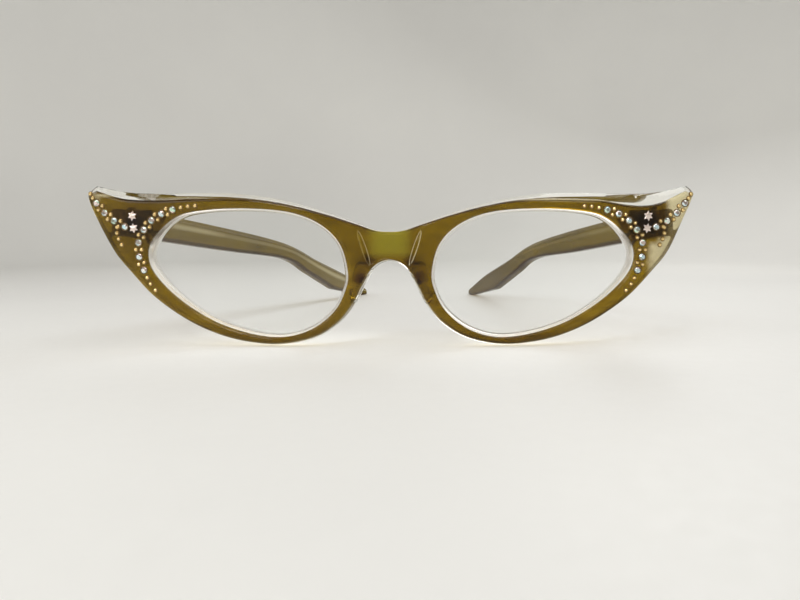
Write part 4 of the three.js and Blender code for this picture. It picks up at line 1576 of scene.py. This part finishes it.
# %% Hinges
HINGE_BOTTOM = 26.6
KNUCKLE_HEIGHT = 1.2
KNUCKLE_GAP = 0.06
KNUCKLE_RADIUS = 1.35
SCREW_RADIUS = 0.55
LEAF_THICKNESS = 0.8
LEAF_LENGTH = 7.0
HINGE_ARC = 65.6
HINGE_OFFSET = 6.5
hinge_top = HINGE_BOTTOM + 5 * KNUCKLE_HEIGHT


def add_block(mesh, x, y, z, bevel=0.12):
    """A block between pairs of limits, its edges bevelled, added to a bmesh."""
    made = bmesh.ops.create_cube(mesh, size=1.0)
    middle = Vector((sum(x) / 2, sum(y) / 2, sum(z) / 2))
    size = (x[1] - x[0], y[1] - y[0], z[1] - z[0])
    for vert in made["verts"]:
        vert.co = Vector([c * s for c, s in zip(vert.co, size)]) + middle
    edges = dict.fromkeys(edge for vert in made["verts"] for edge in vert.link_edges)
    bmesh.ops.bevel(mesh, geom=list(edges), offset=bevel, segments=2, affect="EDGES", profile=0.5)


def add_barrel(mesh, low, high, outer, inner, count=32, bevel=0.1):
    """A tube about the Z axis with bevelled ends, added to a bmesh."""
    profile = [(inner, low + bevel), (inner + bevel, low),
               (outer - bevel, low), (outer, low + bevel),
               (outer, high - bevel), (outer - bevel, high),
               (inner + bevel, high), (inner, high - bevel)]
    rings = []
    for radius, height in profile:
        ring = [mesh.verts.new((radius * math.cos(2 * math.pi * i / count),
                                radius * math.sin(2 * math.pi * i / count), height))
                                for i in range(count)]
        rings.append(ring)
    skin_rings(mesh, rings + [rings[0]])


def knuckle_limits(row):
    low = HINGE_BOTTOM + row * KNUCKLE_HEIGHT + KNUCKLE_GAP / 2
    return low, low + KNUCKLE_HEIGHT - KNUCKLE_GAP


def place_hinge_part(name, mesh, side, turn):
    """Moves a part drawn about the axis to its hinge, mirrored for the left side."""
    sign = -1 if side == "left" else 1
    hinge = hinge_place(side)
    for vert in mesh.verts:
        x, y, z = vert.co
        out = x * math.cos(turn) - y * math.sin(turn)
        back = x * math.sin(turn) + y * math.cos(turn)
        vert.co = Vector((hinge[0] + sign * out, hinge[1] + back, z + face_origin[2])) * MM
    bmesh.ops.recalc_face_normals(mesh, faces=mesh.faces)
    return to_object(name, mesh, smooth=False)


# %% [markdown]
# With the block and the barrel ready, each leaf is a plate and its knuckles, and the screw is one
# turned profile with a slot sunk in its head.

# %% Leaves and screw
def make_front_leaf(side):
    mesh = bmesh.new()
    front = FRONT_THICKNESS + 0.05 - HINGE_OFFSET
    edge = -KNUCKLE_RADIUS - 0.1
    add_block(mesh, (-LEAF_LENGTH, edge), (front, front + LEAF_THICKNESS),
              (HINGE_BOTTOM + 0.1, hinge_top - 0.1))
    for row in (0, 2, 4):
        low, high = knuckle_limits(row)
        add_barrel(mesh, low, high, KNUCKLE_RADIUS, SCREW_RADIUS + 0.04)
        add_block(mesh, (edge - 0.6, -0.75), (front, -0.2), (low + 0.02, high - 0.02), bevel=0.08)
    return place_hinge_part(f"front_leaf_{side}", mesh, side, HINGE_ARC / FRONT_RADIUS)


def make_temple_leaf(side):
    mesh = bmesh.new()
    outer = TEMPLE_STANDOFF - 0.03
    inner = outer - LEAF_THICKNESS
    start = KNUCKLE_RADIUS + 0.1
    add_block(mesh, (inner, outer), (start, start + LEAF_LENGTH),
              (HINGE_BOTTOM + 0.3, hinge_top - 0.3))
    for row in (1, 3):
        low, high = knuckle_limits(row)
        add_barrel(mesh, low, high, KNUCKLE_RADIUS, SCREW_RADIUS + 0.04)
        add_block(mesh, (inner, outer), (0.6, start + 0.5), (low + 0.02, high - 0.02), bevel=0.08)
    return place_hinge_part(f"temple_leaf_{side}", mesh, side, swing[side])


def make_screw(side):
    mesh = bmesh.new()
    top = hinge_top + 0.6
    profile = [(0.4, HINGE_BOTTOM - 0.1), (SCREW_RADIUS, HINGE_BOTTOM),
               (SCREW_RADIUS, hinge_top + 0.08),
               (0.95, hinge_top + 0.08), (1.05, hinge_top + 0.18), (1.05, top - 0.12), (0.9, top)]
    count = 32
    rings = []
    for radius, height in profile:
        rings.append([mesh.verts.new((radius * math.cos(2 * math.pi * i / count),
                                      radius * math.sin(2 * math.pi * i / count), height))
                                      for i in range(count)])
    skin_rings(mesh, rings)
    mesh.faces.new(rings[0])
    slot_face(mesh, rings[-1], top)
    return place_hinge_part(f"screw_{side}", mesh, side, 0.5)


def slot_face(mesh, ring, top):
    """The screw's top: the ring is closed by two half discs with a sunk slot between them."""
    half = 0.16
    right = [v for v in ring if v.co.y > half]
    left = [v for v in ring if v.co.y < -half]
    right.sort(key=lambda v: math.atan2(v.co.y, v.co.x))
    left.sort(key=lambda v: math.atan2(v.co.y, v.co.x))
    east = [v for v in ring if abs(v.co.y) <= half and v.co.x > 0]
    west = [v for v in ring if abs(v.co.y) <= half and v.co.x < 0]
    east.sort(key=lambda v: v.co.y)
    west.sort(key=lambda v: -v.co.y)
    deep = top - 0.3
    floor_right = [mesh.verts.new((v.co.x, v.co.y, deep)) for v in (right[0], right[-1])]
    floor_left = [mesh.verts.new((v.co.x, v.co.y, deep)) for v in (left[-1], left[0])]
    mesh.faces.new(right)
    mesh.faces.new(left)
    mesh.faces.new((right[0], floor_right[0], floor_right[1], right[-1]))
    mesh.faces.new((left[0], floor_left[1], floor_left[0], left[-1]))
    mesh.faces.new((floor_right[0], floor_left[0], floor_left[1], floor_right[1]))
    mesh.faces.new((left[-1], floor_left[0], floor_right[0], right[0], *reversed(east)))
    mesh.faces.new((right[-1], floor_right[1], floor_left[1], left[0], *reversed(west)))


for side in ("left", "right"):
    finish_piece(make_front_leaf(side), nickel, "front", "hinge_metal", f"hinge_leaf_front_{side}")
    finish_piece(make_screw(side), nickel, "front", "hinge_metal", f"hinge_screw_{side}")
    finish_piece(make_temple_leaf(side), nickel, f"temple_{side}", "hinge_metal",
                 f"hinge_leaf_temple_{side}")

# %% [markdown]
# Two plain rivets hold each temple leaf: a flat burr on the inside and a low dome on the outside.
# They share one turned profile and are placed along the temple.

# %% Temple rivets
TEMPLE_RIVETS = {"front": (4.0, 29.7), "rear": (7.4, 29.2)}


def make_temple_rivet(side, which):
    s, z = TEMPLE_RIVETS[which]
    inner = TEMPLE_STANDOFF - LEAF_THICKNESS - 0.05
    outer = TEMPLE_STANDOFF + TEMPLE_THICKNESS + 0.02
    dome = [(1.0 * math.cos(a), outer + 0.32 * math.sin(a)) for a in np.linspace(0, 1.5, 7)]
    profile = [(0.45, inner - 0.28), (0.85, inner - 0.12), (0.9, inner), (0.6, inner), (0.6, outer),
               *dome]
    mesh = turned_mesh(profile, 28)
    for vert in mesh.verts:
        x, y, height = (value / MM for value in vert.co)
        vert.co = on_temple([(y, s + x, z + height)], side)[0]
    bmesh.ops.recalc_face_normals(mesh, faces=mesh.faces)
    return to_object(f"rivet_{which}_{side}", mesh)


for side in ("left", "right"):
    for which in TEMPLE_RIVETS:
        rivet = make_temple_rivet(side, which)
        finish_piece(rivet, nickel, f"temple_{side}", "hinge_metal", f"temple_rivet_{which}_{side}")
